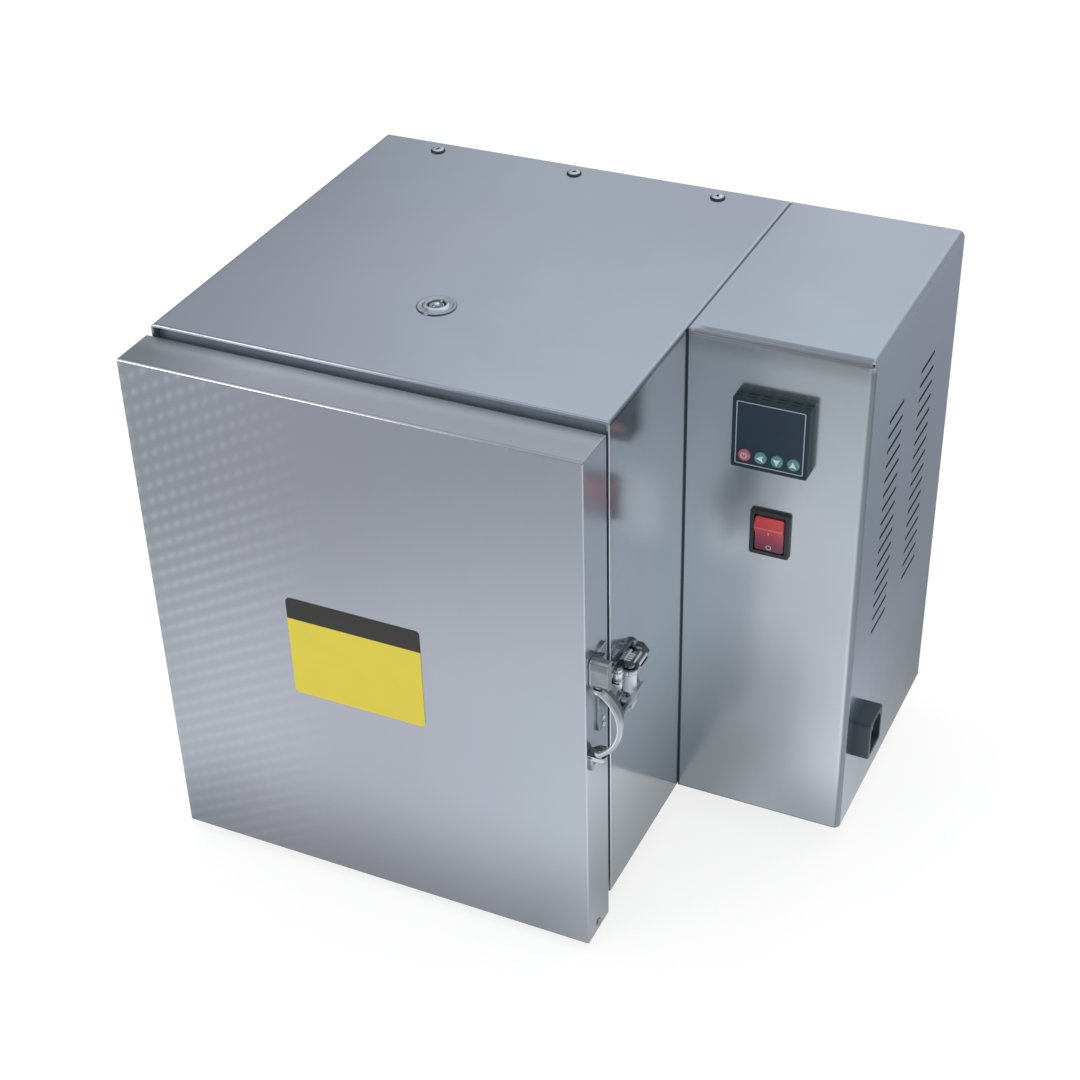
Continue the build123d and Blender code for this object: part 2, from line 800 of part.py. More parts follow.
with BuildPart() as latch_barrel:
    with BuildSketch(Plane.XY.offset(barrel_low)):
        with Locations((barrel_x, barrel_y)):
            Circle(barrel_radius)
    extrude(amount=barrel_height)
    for ring_level in (barrel_low + barrel_height / 4, barrel_high - barrel_height / 4):
        with BuildSketch(Plane.XY.offset(ring_level)):
            with Locations((barrel_x, barrel_y)):
                Circle(barrel_radius + barrel_ring_out)
        extrude(amount=barrel_ring_height / 2, both=True)
    block(
        (door_right, barrel_x),
        (barrel_y - barrel_web / 2, barrel_y + barrel_web / 2),
        (barrel_low + barrel_web_inset, barrel_high - barrel_web_inset),
    )
    block(
        (door_right, door_right + latch_plate_sheet + latch_running_gap),
        (door_front, base_plate_back),
        (barrel_low, barrel_high),
        mode=Mode.SUBTRACT,
    )
latch_barrel.part.label = "latch_barrel"

# Handle: a bowed strip between the two pins, a shoulder behind its upper end and a hook arm
# that reaches over the door's gap and round the roller

bow_out = 20.0
bow_strip = 3.0
bow_width = 9.0
bow_end_out = 1.5
bow_root = 1.0
bow_front = latch_pivot_y - bow_width / 2
bow_back = bow_front + bow_width
bow_end_x = latch_pivot_x + bow_end_out
bow_peak_x = right + bow_out
shoulder_back = door_back - 12.0
shoulder_low = latch_level - 2.0
shoulder_start = shoulder_low - 6.0
shoulder_step = 2.0
shoulder_high = bow_top - 9.0
cut_past = 1.0
roller_radius = 4.5
roller_x = right + 7.5
roller_y = front + 12.0
roller_height = 12.0
roller_low = latch_level - 1.5
hook_play = 0.7
hook_thickness = 3.0
hook_height = 8.5
hook_lap = 3.0
hook_low = roller_low + (roller_height - hook_height) / 2
hook_inner_x = roller_x + roller_radius + hook_play
hook_outer_x = hook_inner_x + hook_thickness
hook_tip_x = roller_x - 1.0
hook_tip_front = roller_y + roller_radius + hook_play
hook_tip_back = hook_tip_front + hook_thickness

with BuildPart() as latch_handle:
    with BuildSketch(facing_front(bow_front)):
        with BuildLine():
            ThreePointArc((bow_end_x, bow_top), (bow_peak_x, latch_level), (bow_end_x, bow_bottom))
            Line((bow_end_x, bow_bottom), (bow_end_x, bow_bottom + bow_strip))
            ThreePointArc(
                (bow_end_x, bow_bottom + bow_strip),
                (bow_peak_x - bow_strip, latch_level),
                (bow_end_x, bow_top - bow_strip),
            )
            Line((bow_end_x, bow_top - bow_strip), (bow_end_x, bow_top))
        make_face()
    extrude(amount=bow_front - shoulder_back)
    with BuildSketch(facing_right(right - bow_out)):
        with BuildLine():
            Polyline(
                (bow_back, bow_bottom - cut_past),
                (bow_back, shoulder_start),
                (bow_back + shoulder_step, shoulder_low),
                (shoulder_back, shoulder_high),
                (shoulder_back + cut_past, bow_bottom - cut_past),
                (bow_back, bow_bottom - cut_past),
            )
        make_face()
    extrude(amount=3 * bow_out, mode=Mode.SUBTRACT)
    for tab_low in (bow_top - tab_thickness, bow_bottom):
        with BuildSketch(Plane.XY.offset(tab_low)):
            with Locations((latch_pivot_x, latch_pivot_y)):
                Circle(tab_radius)
            with Locations((latch_pivot_x + (bow_end_out + bow_root) / 2, latch_pivot_y)):
                Rectangle(bow_end_out + bow_root, bow_width)
        extrude(amount=tab_thickness)
    with BuildSketch(Plane.XY.offset(hook_low)):
        with BuildLine():
            Polyline(
                (hook_inner_x, bow_back - hook_lap),
                (hook_outer_x, bow_back - hook_lap),
                (hook_outer_x, hook_tip_back),
                (hook_tip_x, hook_tip_back),
                (hook_tip_x, hook_tip_front),
                (hook_inner_x, hook_tip_front),
                (hook_inner_x, bow_back - hook_lap),
            )
        make_face()
    extrude(amount=hook_height)
    with BuildSketch(Plane.XY.offset(bow_bottom - cut_past)):
        with Locations((latch_pivot_x, latch_pivot_y)):
            Circle(latch_pin_radius + latch_running_gap)
    extrude(amount=2 * (latch_bow_half_height + cut_past), mode=Mode.SUBTRACT)
latch_handle.part.label = "latch_handle"

# Strike on the cabinet's side: a plate with two ribbed arms that carry a roller on an upright axle

strike_plate_front = front + 4.0
strike_plate_back = front + 38.0
strike_plate_low = latch_level - 15.0
strike_plate_high = latch_level + 24.0
strike_screw_y = front + 32.0
strike_screw_levels = [latch_level - 8.0, latch_level + 17.0]
arm_thickness = 4.0
arm_gap = 0.5
arm_out = 13.0
upper_arm_back = front + 27.0
lower_arm_back = front + 22.0
roller_axle_radius = 2.0
axle_hole_play = 0.03
rib_count = 4
rib_height = 0.7
rib_width = 1.1
rib_pitch = 2.2
rib_start = strike_plate_front + 1.6
rib_inset = 1.0
upper_arm_low = roller_low + roller_height + arm_gap
lower_arm_low = roller_low - arm_gap - rib_height - arm_thickness
strike_screw_places = [
    (right + latch_plate_sheet, strike_screw_y, level)
    for level in strike_screw_levels
]

with BuildPart() as strike_plate:
    with BuildSketch(facing_right(right)):
        with Locations(
            (
                (strike_plate_front + strike_plate_back) / 2,
                (strike_plate_low + strike_plate_high) / 2,
            )
        ):
            RectangleRounded(
                strike_plate_back - strike_plate_front,
                strike_plate_high - strike_plate_low,
                latch_plate_corner,
            )
    extrude(amount=latch_plate_sheet)
    for arm_low, arm_back in ((upper_arm_low, upper_arm_back), (lower_arm_low, lower_arm_back)):
        block(
            (right, right + arm_out),
            (strike_plate_front, arm_back),
            (arm_low, arm_low + arm_thickness),
        )
        for rib in range(rib_count):
            rib_y = rib_start + rib * rib_pitch
            block(
                (right + latch_plate_sheet, right + arm_out - rib_inset),
                (rib_y, rib_y + rib_width),
                (arm_low + arm_thickness, arm_low + arm_thickness + rib_height),
            )
    with BuildSketch(Plane.XY.offset(strike_plate_low)):
        with Locations((roller_x, roller_y)):
            Circle(roller_axle_radius + axle_hole_play)
    extrude(amount=strike_plate_high - strike_plate_low, mode=Mode.SUBTRACT)
    for place in strike_screw_places:
        screw_hole(place, (1, 0, 0), strike_screw, latch_plate_sheet)
strike_plate.part.label = "strike_plate"

axle_head = 1.2
axle_head_radius = 3.2
axle_head_taper = 20.0

with BuildPart() as strike_axle:
    with BuildSketch(Plane.XY.offset(lower_arm_low)):
        with Locations((roller_x, roller_y)):
            Circle(roller_axle_radius)
    extrude(amount=upper_arm_low + arm_thickness + rib_height - lower_arm_low)
    with BuildSketch(Plane.XY.offset(upper_arm_low + arm_thickness + rib_height)):
        with Locations((roller_x, roller_y)):
            Circle(axle_head_radius)
    extrude(amount=axle_head, taper=axle_head_taper)
strike_axle.part.label = "strike_axle"

with BuildPart() as strike_roller:
    with BuildSketch(Plane.XY.offset(roller_low)):
        with Locations((roller_x, roller_y)):
            Circle(roller_radius)
            Circle(roller_axle_radius + latch_running_gap, mode=Mode.SUBTRACT)
    extrude(amount=roller_height)
strike_roller.part.label = "strike_roller"

with BuildPart() as strike_screws:
    for place in strike_screw_places:
        screw(place, (1, 0, 0), strike_screw, latch_plate_sheet)
strike_screws.part.label = "strike_screws"

# Control box: a cover of front, right side and top, closed by a back, a base and an inner side

cutout_play = 0.2
controller_size = 48.0
controller_body = 44.6
controller_x = right + 56.8
controller_z = bottom + 296.5
switch_width = 26.0
switch_height = 32.5
switch_body_width = 21.6
switch_body_height = 28.6
switch_x = right + 57.3
switch_z = bottom + 224.0
inlet_width = 27.0
inlet_height = 30.0
inlet_body_width = 23.0
inlet_body_height = 26.0
inlet_y = front + 150.0
inlet_z = bottom + 62.0
slot_length = 30.0
slot_height = 2.6
slot_rows = 16
slot_pitch = 10.45
slot_columns_pitch = 66.0
slots_y = front + 204.0
slots_z = bottom + 214.5
inner_side_left = right
inner_side_right = right + panel_sheet
control_inner_right = control_right - panel_sheet

with BuildPart() as control_cover:
    block((inner_side_right, control_right), (control_front, back), (bottom, top))
    top_edges = control_cover.faces().sort_by(Axis.Z)[-1].edges()
    right_edges = control_cover.faces().sort_by(Axis.X)[-1].edges()
    soft_edges = [
        top_edges.sort_by(Axis.Y)[0],
        top_edges.sort_by(Axis.X)[-1],
        right_edges.sort_by(Axis.Y)[0],
    ]
    fillet(soft_edges, control_bend)
    block(
        (inner_side_right, control_inner_right),
        (control_front + panel_sheet, back),
        (bottom, top - panel_sheet),
        mode=Mode.SUBTRACT,
    )
    with BuildSketch(facing_front(control_front)):
        with Locations((controller_x, controller_z)):
            Rectangle(controller_body + 2 * cutout_play, controller_body + 2 * cutout_play)
        with Locations((switch_x, switch_z)):
            Rectangle(switch_body_width + 2 * cutout_play, switch_body_height + 2 * cutout_play)
    extrude(amount=-2 * panel_sheet, mode=Mode.SUBTRACT)
    with BuildSketch(facing_right(control_right)):
        with Locations((inlet_y, inlet_z)):
            Rectangle(inlet_body_width + 2 * cutout_play, inlet_body_height + 2 * cutout_play)
        with Locations((slots_y, slots_z)):
            with GridLocations(slot_columns_pitch, slot_pitch, 2, slot_rows):
                SlotOverall(slot_length, slot_height)
    extrude(amount=-2 * panel_sheet, mode=Mode.SUBTRACT)
control_cover.part.label = "control_cover"

with BuildPart() as control_side:
    block((inner_side_left, inner_side_right), (control_front, back), (bottom, top))
    with BuildSketch(facing_right(inner_side_right)):
        with Locations((probe_y, probe_z)):
            Circle(probe_sheet_hole_radius)
    extrude(amount=-panel_sheet, mode=Mode.SUBTRACT)
control_side.part.label = "control_side"

with BuildPart() as control_back:
    block(
        (inner_side_right, control_inner_right),
        (back - panel_sheet, back),
        (bottom + panel_sheet, top - panel_sheet),
    )
control_back.part.label = "control_back"

with BuildPart() as control_base:
    block(
        (inner_side_right, control_inner_right),
        (control_front + panel_sheet, back),
        (bottom, bottom + panel_sheet),
    )
control_base.part.label = "control_base"

# Temperature controller: case, glossy face and four domed keys

controller_out = 9.0
controller_depth = 62.0
controller_border = 2.2
controller_corner = 1.2
controller_edge = 0.6
face_thickness = 3.0
face_sink = 0.3
key_well = 1.2
key_radius = 4.0
key_play = 0.3
key_out = 1.2
key_length = 4.0
key_edge = 1.1
key_pitch = 10.3
key_drop = 14.8
controller_front = control_front - controller_out
face_front = controller_front + face_sink
face_size = controller_size - 2 * controller_border
key_names = ["key_set", "key_shift", "key_down", "key_up"]
key_places = [
    (controller_x + (column - (len(key_names) - 1) / 2) * key_pitch, controller_z - key_drop)
    for column in range(len(key_names))
]

with BuildPart() as controller_case:
    with BuildSketch(facing_front(control_front)):
        with Locations((controller_x, controller_z)):
            RectangleRounded(controller_size, controller_size, controller_corner)
    extrude(amount=controller_out)
    fillet(controller_case.faces().sort_by(Axis.Y)[0].edges(), controller_edge)
    with BuildSketch(facing_front(control_front)):
        with Locations((controller_x, controller_z)):
            Rectangle(controller_body, controller_body)
    extrude(amount=-controller_depth)
    with BuildSketch(facing_front(controller_front)):
        with Locations((controller_x, controller_z)):
            Rectangle(face_size, face_size)
    extrude(amount=-(face_sink + face_thickness + key_well), mode=Mode.SUBTRACT)
controller_case.part.label = "controller_case"

with BuildPart() as controller_face:
    with BuildSketch(facing_front(face_front + face_thickness)):
        with Locations((controller_x, controller_z)):
            Rectangle(face_size, face_size)
        with Locations(*key_places):
            Circle(key_radius + key_play, mode=Mode.SUBTRACT)
    extrude(amount=face_thickness)
controller_face.part.label = "controller_face"

controller_keys = []
for key_name, key_place in zip(key_names, key_places):
    with BuildPart() as key:
        with BuildSketch(facing_front(face_front - key_out + key_length)):
            with Locations(key_place):
                Circle(key_radius)
        extrude(amount=key_length)
        fillet(key.faces().sort_by(Axis.Y)[0].edges(), key_edge)
    key.part.label = key_name
    controller_keys.append(key)

# Power switch: a bezel with its body, and a rocker that is shown off, its lower half pressed in

bezel_out = 2.5
bezel_corner = 2.0
bezel_edge = 0.8
rocker_width = 18.8
rocker_opening_width = 20.0
rocker_opening_height = 26.5
switch_depth = 22.0
rocker_room = 13.0
rocker_edge = 0.8
trunnion_radius = 1.5
trunnion_reach = 0.7
trunnion_play = 0.06
rocker_pivot_y = control_front + 2.0
# Section of the rocker from its pivot, as (Y, Z): upper front edge, crease, lower front edge, back
rocker_section = [
    (-8.3, 10.9),
    (-4.75, -0.73),
    (-4.55, -12.9),
    (1.4, -12.5),
    (5.5, -5.5),
    (5.0, 6.5),
    (-2.5, 12.4),
]

with BuildPart() as switch_bezel:
    with BuildSketch(facing_front(control_front)):
        with Locations((switch_x, switch_z)):
            RectangleRounded(switch_width, switch_height, bezel_corner)
    extrude(amount=bezel_out)
    fillet(switch_bezel.faces().sort_by(Axis.Y)[0].edges(), bezel_edge)
    with BuildSketch(facing_front(control_front)):
        with Locations((switch_x, switch_z)):
            Rectangle(switch_body_width, switch_body_height)
    extrude(amount=-switch_depth)
    with BuildSketch(facing_front(control_front - bezel_out)):
        with Locations((switch_x, switch_z)):
            Rectangle(rocker_opening_width, rocker_opening_height)
    extrude(amount=-(bezel_out + rocker_room), mode=Mode.SUBTRACT)
    with BuildSketch(facing_right(switch_x - switch_body_width / 2)):
        with Locations((rocker_pivot_y, switch_z)):
            Circle(trunnion_radius + trunnion_play)
    extrude(amount=switch_body_width, mode=Mode.SUBTRACT)
switch_bezel.part.label = "switch_bezel"

with BuildPart() as switch_rocker:
    with BuildSketch(facing_right(switch_x - rocker_width / 2)):
        with Locations((rocker_pivot_y, switch_z)):
            Polygon(*rocker_section, align=None)
    extrude(amount=rocker_width)
    fillet(switch_rocker.edges().filter_by(Axis.X).sort_by(Axis.Y)[0], rocker_edge)
    with BuildSketch(facing_right(switch_x - rocker_opening_width / 2 - trunnion_reach)):
        with Locations((rocker_pivot_y, switch_z)):
            Circle(trunnion_radius)
    extrude(amount=rocker_opening_width + 2 * trunnion_reach)
switch_rocker.part.label = "switch_rocker"

# Mains inlet low on the right side: a standing shroud round a socket with three flat pins

inlet_depth = 20.0
inlet_corner = 3.0
inlet_edge = 1.0
inlet_recess_width = 20.0
inlet_recess_height = 23.5
inlet_recess_corner = 4.5
inlet_recess_depth = 16.5
inlet_face_x = control_right + inlet_out
inlet_floor_x = inlet_face_x - inlet_recess_depth
inlet_pin_length = 14.0
inlet_pin_width = 4.0
inlet_pin_thickness = 2.0
inlet_pin_tip = 0.5
inlet_pin_spread = 14.0
inlet_earth_offset = 2.0

with BuildPart() as inlet_socket:
    with BuildSketch(facing_right(control_right)):
        with Locations((inlet_y, inlet_z)):
            RectangleRounded(inlet_width, inlet_height, inlet_corner)
    extrude(amount=inlet_out)
    fillet(inlet_socket.faces().sort_by(Axis.X)[-1].edges(), inlet_edge)
    with BuildSketch(facing_right(control_right)):
        with Locations((inlet_y, inlet_z)):
            Rectangle(inlet_body_width, inlet_body_height)
    extrude(amount=-inlet_depth)
    with BuildSketch(facing_right(inlet_face_x)) as recess:
        with Locations((inlet_y, inlet_z)):
            Rectangle(inlet_recess_width, inlet_recess_height)
        chamfer(recess.vertices().group_by(Axis.Y)[-1], inlet_recess_corner)
    extrude(amount=-inlet_recess_depth, mode=Mode.SUBTRACT)
inlet_socket.part.label = "inlet_socket"

with BuildPart() as inlet_pins:
    with BuildSketch(facing_right(inlet_floor_x)):
        with Locations(
            (inlet_y - inlet_earth_offset, inlet_z - inlet_pin_spread / 2),
            (inlet_y - inlet_earth_offset, inlet_z + inlet_pin_spread / 2),
            (inlet_y + inlet_earth_offset, inlet_z),
        ):
            Rectangle(inlet_pin_width, inlet_pin_thickness)
    extrude(amount=inlet_pin_length)
    chamfer(inlet_pins.faces().group_by(Axis.X)[-1].edges(), inlet_pin_tip)
inlet_pins.part.label = "inlet_pins"

# Inside the control box: a solid-state relay on a finned heat sink

sink_height = 90.0
sink_width = 70.0
sink_base = 5.0
fin_count = 9
fin_height = 22.0
fin_thickness = 1.6
fin_pitch = (sink_width - fin_thickness) / (fin_count - 1)
sink_y = back - 60.0
sink_z = bottom + 120.0
relay_width = 45.0
relay_height = 58.0
relay_thickness = 23.0
relay_corner = 2.0

with BuildPart() as relay_heat_sink:
    with BuildSketch(facing_right(inner_side_right)):
        with Locations((sink_y, sink_z)):
            with GridLocations(fin_pitch, sink_height, fin_count, 1):
                Rectangle(fin_thickness, sink_height)
    extrude(amount=fin_height)
    with BuildSketch(facing_right(inner_side_right + fin_height)):
        with Locations((sink_y, sink_z)):
            Rectangle(sink_width, sink_height)
    extrude(amount=sink_base)
relay_heat_sink.part.label = "relay_heat_sink"

with BuildPart() as power_relay:
    with BuildSketch(facing_right(inner_side_right + fin_height + sink_base)):
        with Locations((sink_y, sink_z)):
            RectangleRounded(relay_width, relay_height, relay_corner)
    extrude(amount=relay_thickness)
power_relay.part.label = "power_relay"

pieces = [
    cabinet_wrap,
    front_frame,
    back_panel,
    base_panel,
    feet,
    top_screws,
    insulation_left,
    insulation_right,
    insulation_roof,
    insulation_floor,
    insulation_back,
    muffle_side_plates,
    muffle_roof_floor,
    muffle_back_plate,
    heating_elements,
    hearth_plate,
    probe_sheath,
    probe_head,
    vent_bush,
    vent_plug,
    door_skin,
    door_liner,
    door_insulation,
    door_plug,
    plug_frame,
    plug_screws,
    door_screws,
    label_plate,
    cabinet_hinge_leaves,
    door_hinge_leaves,
    hinge_pins,
    cabinet_hinge_screws,
    door_hinge_screws,
    latch_base,
    latch_lower_bracket,
    latch_pins,
    latch_rivets,
    latch_barrel,
    latch_handle,
    strike_plate,
    strike_axle,
    strike_roller,
    strike_screws,
    control_cover,
    control_side,
    control_back,
    control_base,
    controller_case,
    controller_face,
    switch_bezel,
    switch_rocker,
    inlet_socket,
    inlet_pins,
    relay_heat_sink,
    power_relay,
    *controller_keys,
]

for piece in pieces:
    export_step(piece.part, f"parts/{piece.part.label}.step")

print("overall length", overall_length, "depth", overall_depth)
print("door hinge axis", hinge_axis_x, hinge_axis_y)
print("handle pivot", latch_pivot_x, latch_pivot_y)
print("roller axis", roller_x, roller_y, "rocker pivot", rocker_pivot_y, switch_z)
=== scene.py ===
import json
import math

import bmesh
import bpy
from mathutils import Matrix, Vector


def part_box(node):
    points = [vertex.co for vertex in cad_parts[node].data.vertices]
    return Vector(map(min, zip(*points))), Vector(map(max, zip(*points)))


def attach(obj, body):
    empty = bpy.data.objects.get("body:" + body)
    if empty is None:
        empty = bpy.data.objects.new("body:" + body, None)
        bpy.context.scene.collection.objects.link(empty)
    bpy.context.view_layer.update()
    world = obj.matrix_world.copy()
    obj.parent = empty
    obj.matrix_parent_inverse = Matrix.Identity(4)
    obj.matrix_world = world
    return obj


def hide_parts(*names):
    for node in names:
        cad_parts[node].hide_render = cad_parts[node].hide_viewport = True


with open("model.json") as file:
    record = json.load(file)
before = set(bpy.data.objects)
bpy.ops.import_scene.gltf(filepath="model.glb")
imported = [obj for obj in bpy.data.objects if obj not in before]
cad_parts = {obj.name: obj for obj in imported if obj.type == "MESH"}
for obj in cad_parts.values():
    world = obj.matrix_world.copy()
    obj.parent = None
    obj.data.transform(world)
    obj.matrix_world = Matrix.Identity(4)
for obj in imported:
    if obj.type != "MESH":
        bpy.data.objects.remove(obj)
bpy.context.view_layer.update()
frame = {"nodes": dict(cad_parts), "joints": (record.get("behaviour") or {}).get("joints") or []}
nodes = frame["nodes"]
scene = bpy.context.scene
mm = 0.001
weld = 1e-6
print("frame loaded with", len(nodes), "pieces")


# Camera and light

view = {
    "place": (0.48495, -1.0337, 0.9709),
    "turn": (53.33, 1.94, 25.67),
    "lens": 69.33,
    "sensor": 36.0,
    "shift": (0.0334, 0.0819),
}
studio = {
    "floorSize": 9.0,
    "floorColour": (0.82, 0.82, 0.82),
    "floorSeen": {"colour": (0.3, 0.3, 0.3), "glow": 0.78},
    # How the floor glows in reflections: painted contact shade near the object, darker to the left, far off
    # and behind, lighter to the right
    "mirroredFloor": {
        "near": 1.01, "far": 0.56, "behind": 0.52, "contact": 0.44, "contactRight": 0.6,
        "left": 0.88, "right": 1.15, "farRight": 1.6,
    },
    "floorZones": {
        "centre": -0.15, "far": (0.25, 0.6), "contact": (0.0, 0.11), "contactRight": (0.04, 0.1),
        "contactFront": (-0.15, -0.1), "left": (-0.15, 0.1), "right": (0.1, 0.2), "farRight": (0.3, 0.5),
        "behind": (-0.05, 0.25),
    },
    "mirroredRoom": {
        "left": 0.45, "middle": 0.82, "right": 0.62, "rise": 0.35, "front": 0.4, "ceiling": 0.65,
    },
    "roomZones": {
        "middle": (-0.53, -0.38), "right": (-0.34, -0.22), "rise": (0.37, 0.53), "front": (-0.2, 0.2),
        "ceiling": (0.55, 0.75),
    },
    "roomLight": 0.66,
    "lamps": {
        "overhead": {"place": (0.2, -0.1, 2.2), "aim": (0.0, 0.0, 0.3), "size": 3.4, "power": 14.0},
        "frontLeft": {"place": (-1.45, -1.9, 0.9), "aim": (-0.1, -0.2, 0.2), "size": 0.9, "power": 12.0},
        "behind": {"place": (0.1, 2.0, 1.4), "aim": (0.1, 0.0, 0.3), "size": 1.2, "power": 1.2},
    },
}


def placeCamera():
    data = bpy.data.cameras.new("camera")
    data.lens = view["lens"]
    data.sensor_width = view["sensor"]
    data.shift_x, data.shift_y = view["shift"]
    data.clip_start = 0.01
    data.clip_end = 50.0
    camera = bpy.data.objects.new("camera", data)
    camera.location = view["place"]
    camera.rotation_euler = [math.radians(angle) for angle in view["turn"]]
    scene.collection.objects.link(camera)
    scene.camera = camera


def placeLamp(name, values):
    data = bpy.data.lights.new(name, "AREA")
    data.shape = "SQUARE"
    data.size = values["size"]
    data.energy = values["power"]
    lamp = bpy.data.objects.new(name, data)
    lamp.location = values["place"]
    heading = Vector(values["aim"]) - Vector(values["place"])
    lamp.rotation_euler = heading.to_track_quat("-Z", "Y").to_euler()
    scene.collection.objects.link(lamp)


# Shader and geometry trees: a wire wraps one socket, and sums on wires add Math nodes

class Wire:
    def __init__(self, tree, made=None, socket=None):
        self.tree = tree
        self.made = made
        self.socket = socket

    def make(self, kind, settings=None, values=None, output=0):
        made = self.tree.nodes.new(kind)
        for name, value in (settings or {}).items():
            setattr(made, name, value)
        for name, value in (values or {}).items():
            socket = made.inputs[name]
            if isinstance(value, Wire):
                self.tree.links.new(value.socket, socket)
            else:
                socket.default_value = value
        socket = made.outputs[output] if len(made.outputs) else None
        return Wire(self.tree, made, socket)

    def output(self, name):
        return Wire(self.tree, self.made, self.made.outputs[name])

    def sum(self, operation, first, second=0.0):
        return self.make("ShaderNodeMath", {"operation": operation}, {0: first, 1: second})

    def __add__(self, other):
        return self.sum("ADD", self, other)

    def __radd__(self, other):
        return self.sum("ADD", other, self)

    def __sub__(self, other):
        return self.sum("SUBTRACT", self, other)

    def __rsub__(self, other):
        return self.sum("SUBTRACT", other, self)

    def __mul__(self, other):
        return self.sum("MULTIPLY", self, other)

    def __rmul__(self, other):
        return self.sum("MULTIPLY", other, self)

    def __pow__(self, other):
        return self.sum("POWER", self, other)

    def above(self, edge):
        return self.sum("GREATER_THAN", self, edge)

    def below(self, edge):
        return self.sum("LESS_THAN", self, edge)

    def smooth(self, low, high):
        # 0 below the low value, 1 above the high one, and a smooth rise between them
        settings = {"interpolation_type": "SMOOTHSTEP"}
        return self.make("ShaderNodeMapRange", settings, {"Value": self, "From Min": low, "From Max": high})


def newMaterial(name):
    # An empty material with its shader, its tree as a wire, and the place on the object in metres
    material = bpy.data.materials.new(name)
    material.use_nodes = True
    tree = material.node_tree
    tree.nodes.clear()
    wire = Wire(tree)
    shader = wire.make("ShaderNodeBsdfPrincipled")
    end = wire.make("ShaderNodeOutputMaterial", None, {"Surface": shader})
    end.made.is_active_output = True
    place = wire.make("ShaderNodeTexCoord").output("Object")
    return material, wire, shader, place


def splitPlace(wire, place):
    return wire.make("ShaderNodeSeparateXYZ", None, {0: place})


def feed(shader, **values):
    # Names with a capital inside stand for the shader's sockets, such as baseColor for Base Color
    for name, value in values.items():
        label = "".join(" " + letter if letter.isupper() else letter for letter in name)
        socket = shader.made.inputs[label[0].upper() + label[1:]]
        if isinstance(value, Wire):
            shader.tree.links.new(value.socket, socket)
        else:
            socket.default_value = value


def noise(wire, place, scale, detail=3.0, rough=0.5, stretch=(1.0, 1.0, 1.0), shift=(0.0, 0.0, 0.0)):
    mapped = wire.make("ShaderNodeMapping", None, {"Vector": place, "Location": shift, "Scale": stretch})
    values = {"Vector": mapped, "Scale": scale, "Detail": detail, "Roughness": rough}
    return wire.make("ShaderNodeTexNoise", None, values)


def tint(wire, colour, amount):
    # The colour made lighter or darker: an amount of 0.5 leaves it alone
    dark = [channel * 0.5 for channel in colour]
    light = [channel * 1.5 for channel in colour]
    return wire.make(
        "ShaderNodeMix",
        {"data_type": "RGBA", "clamp_factor": True},
        {"Factor": amount, 6: (*dark, 1.0), 7: (*light, 1.0)},
        2,
    )


def mixColour(wire, amount, first, second):
    values = {"Factor": amount}
    for index, colour in ((6, first), (7, second)):
        values[index] = colour if isinstance(colour, Wire) else (*colour, 1.0)
    return wire.make("ShaderNodeMix", {"data_type": "RGBA", "clamp_factor": True}, values, 2)


def bump(wire, height, strength, distance=0.001):
    return wire.make("ShaderNodeBump", None, {"Height": height, "Strength": strength, "Distance": distance})


# Materials

sheetSteel = {
    # Painted light: level, upright, beside and right are lit and shaded tones of one steel, for the top,
    # the upright faces up to the cabinet's right side, the faces from there on, and the box's right side
    "level": (0.412, 0.485, 0.568),
    "upright": (0.44, 0.5, 0.556),
    "beside": (0.452, 0.51, 0.556),
    "right": (0.358, 0.457, 0.604),
    "warm": (1.06, 0.985, 1.02),
    "metal": 0.86,
    "roughness": 0.2,
    "smoothBeside": 0.13,
    "levelDoor": 0.5,
    "dullBox": {"X": (90.0, 142.0, 1.0, 24.0), "Z": (212.0, 285.0, 30.0, 30.0), "roughness": 0.21},
    "cloud": 0.16,
    "grainColour": 0.05,
    "grainDepth": 0.03,
    "grainGloss": 0.06,
    "wipedGloss": 0.14,
    "hueEdge": (0.42, 0.58),
}
sheetNoise = {
    "cloud": {"scale": 5.5, "detail": 2.0, "rough": 0.45, "stretch": (1.0, 1.0, 0.7)},
    "grain": {"scale": 55.0, "detail": 4.0, "rough": 0.6},
    "wiped": {"scale": 26.0, "detail": 5.0, "rough": 0.65, "shift": (3.1, 1.7, 0.4)},
    "hue": {
        "scale": 4.2, "detail": 1.0, "rough": 0.4, "stretch": (1.0, 0.45, 0.3), "shift": (5.2, 0.3, 1.9),
    },
}
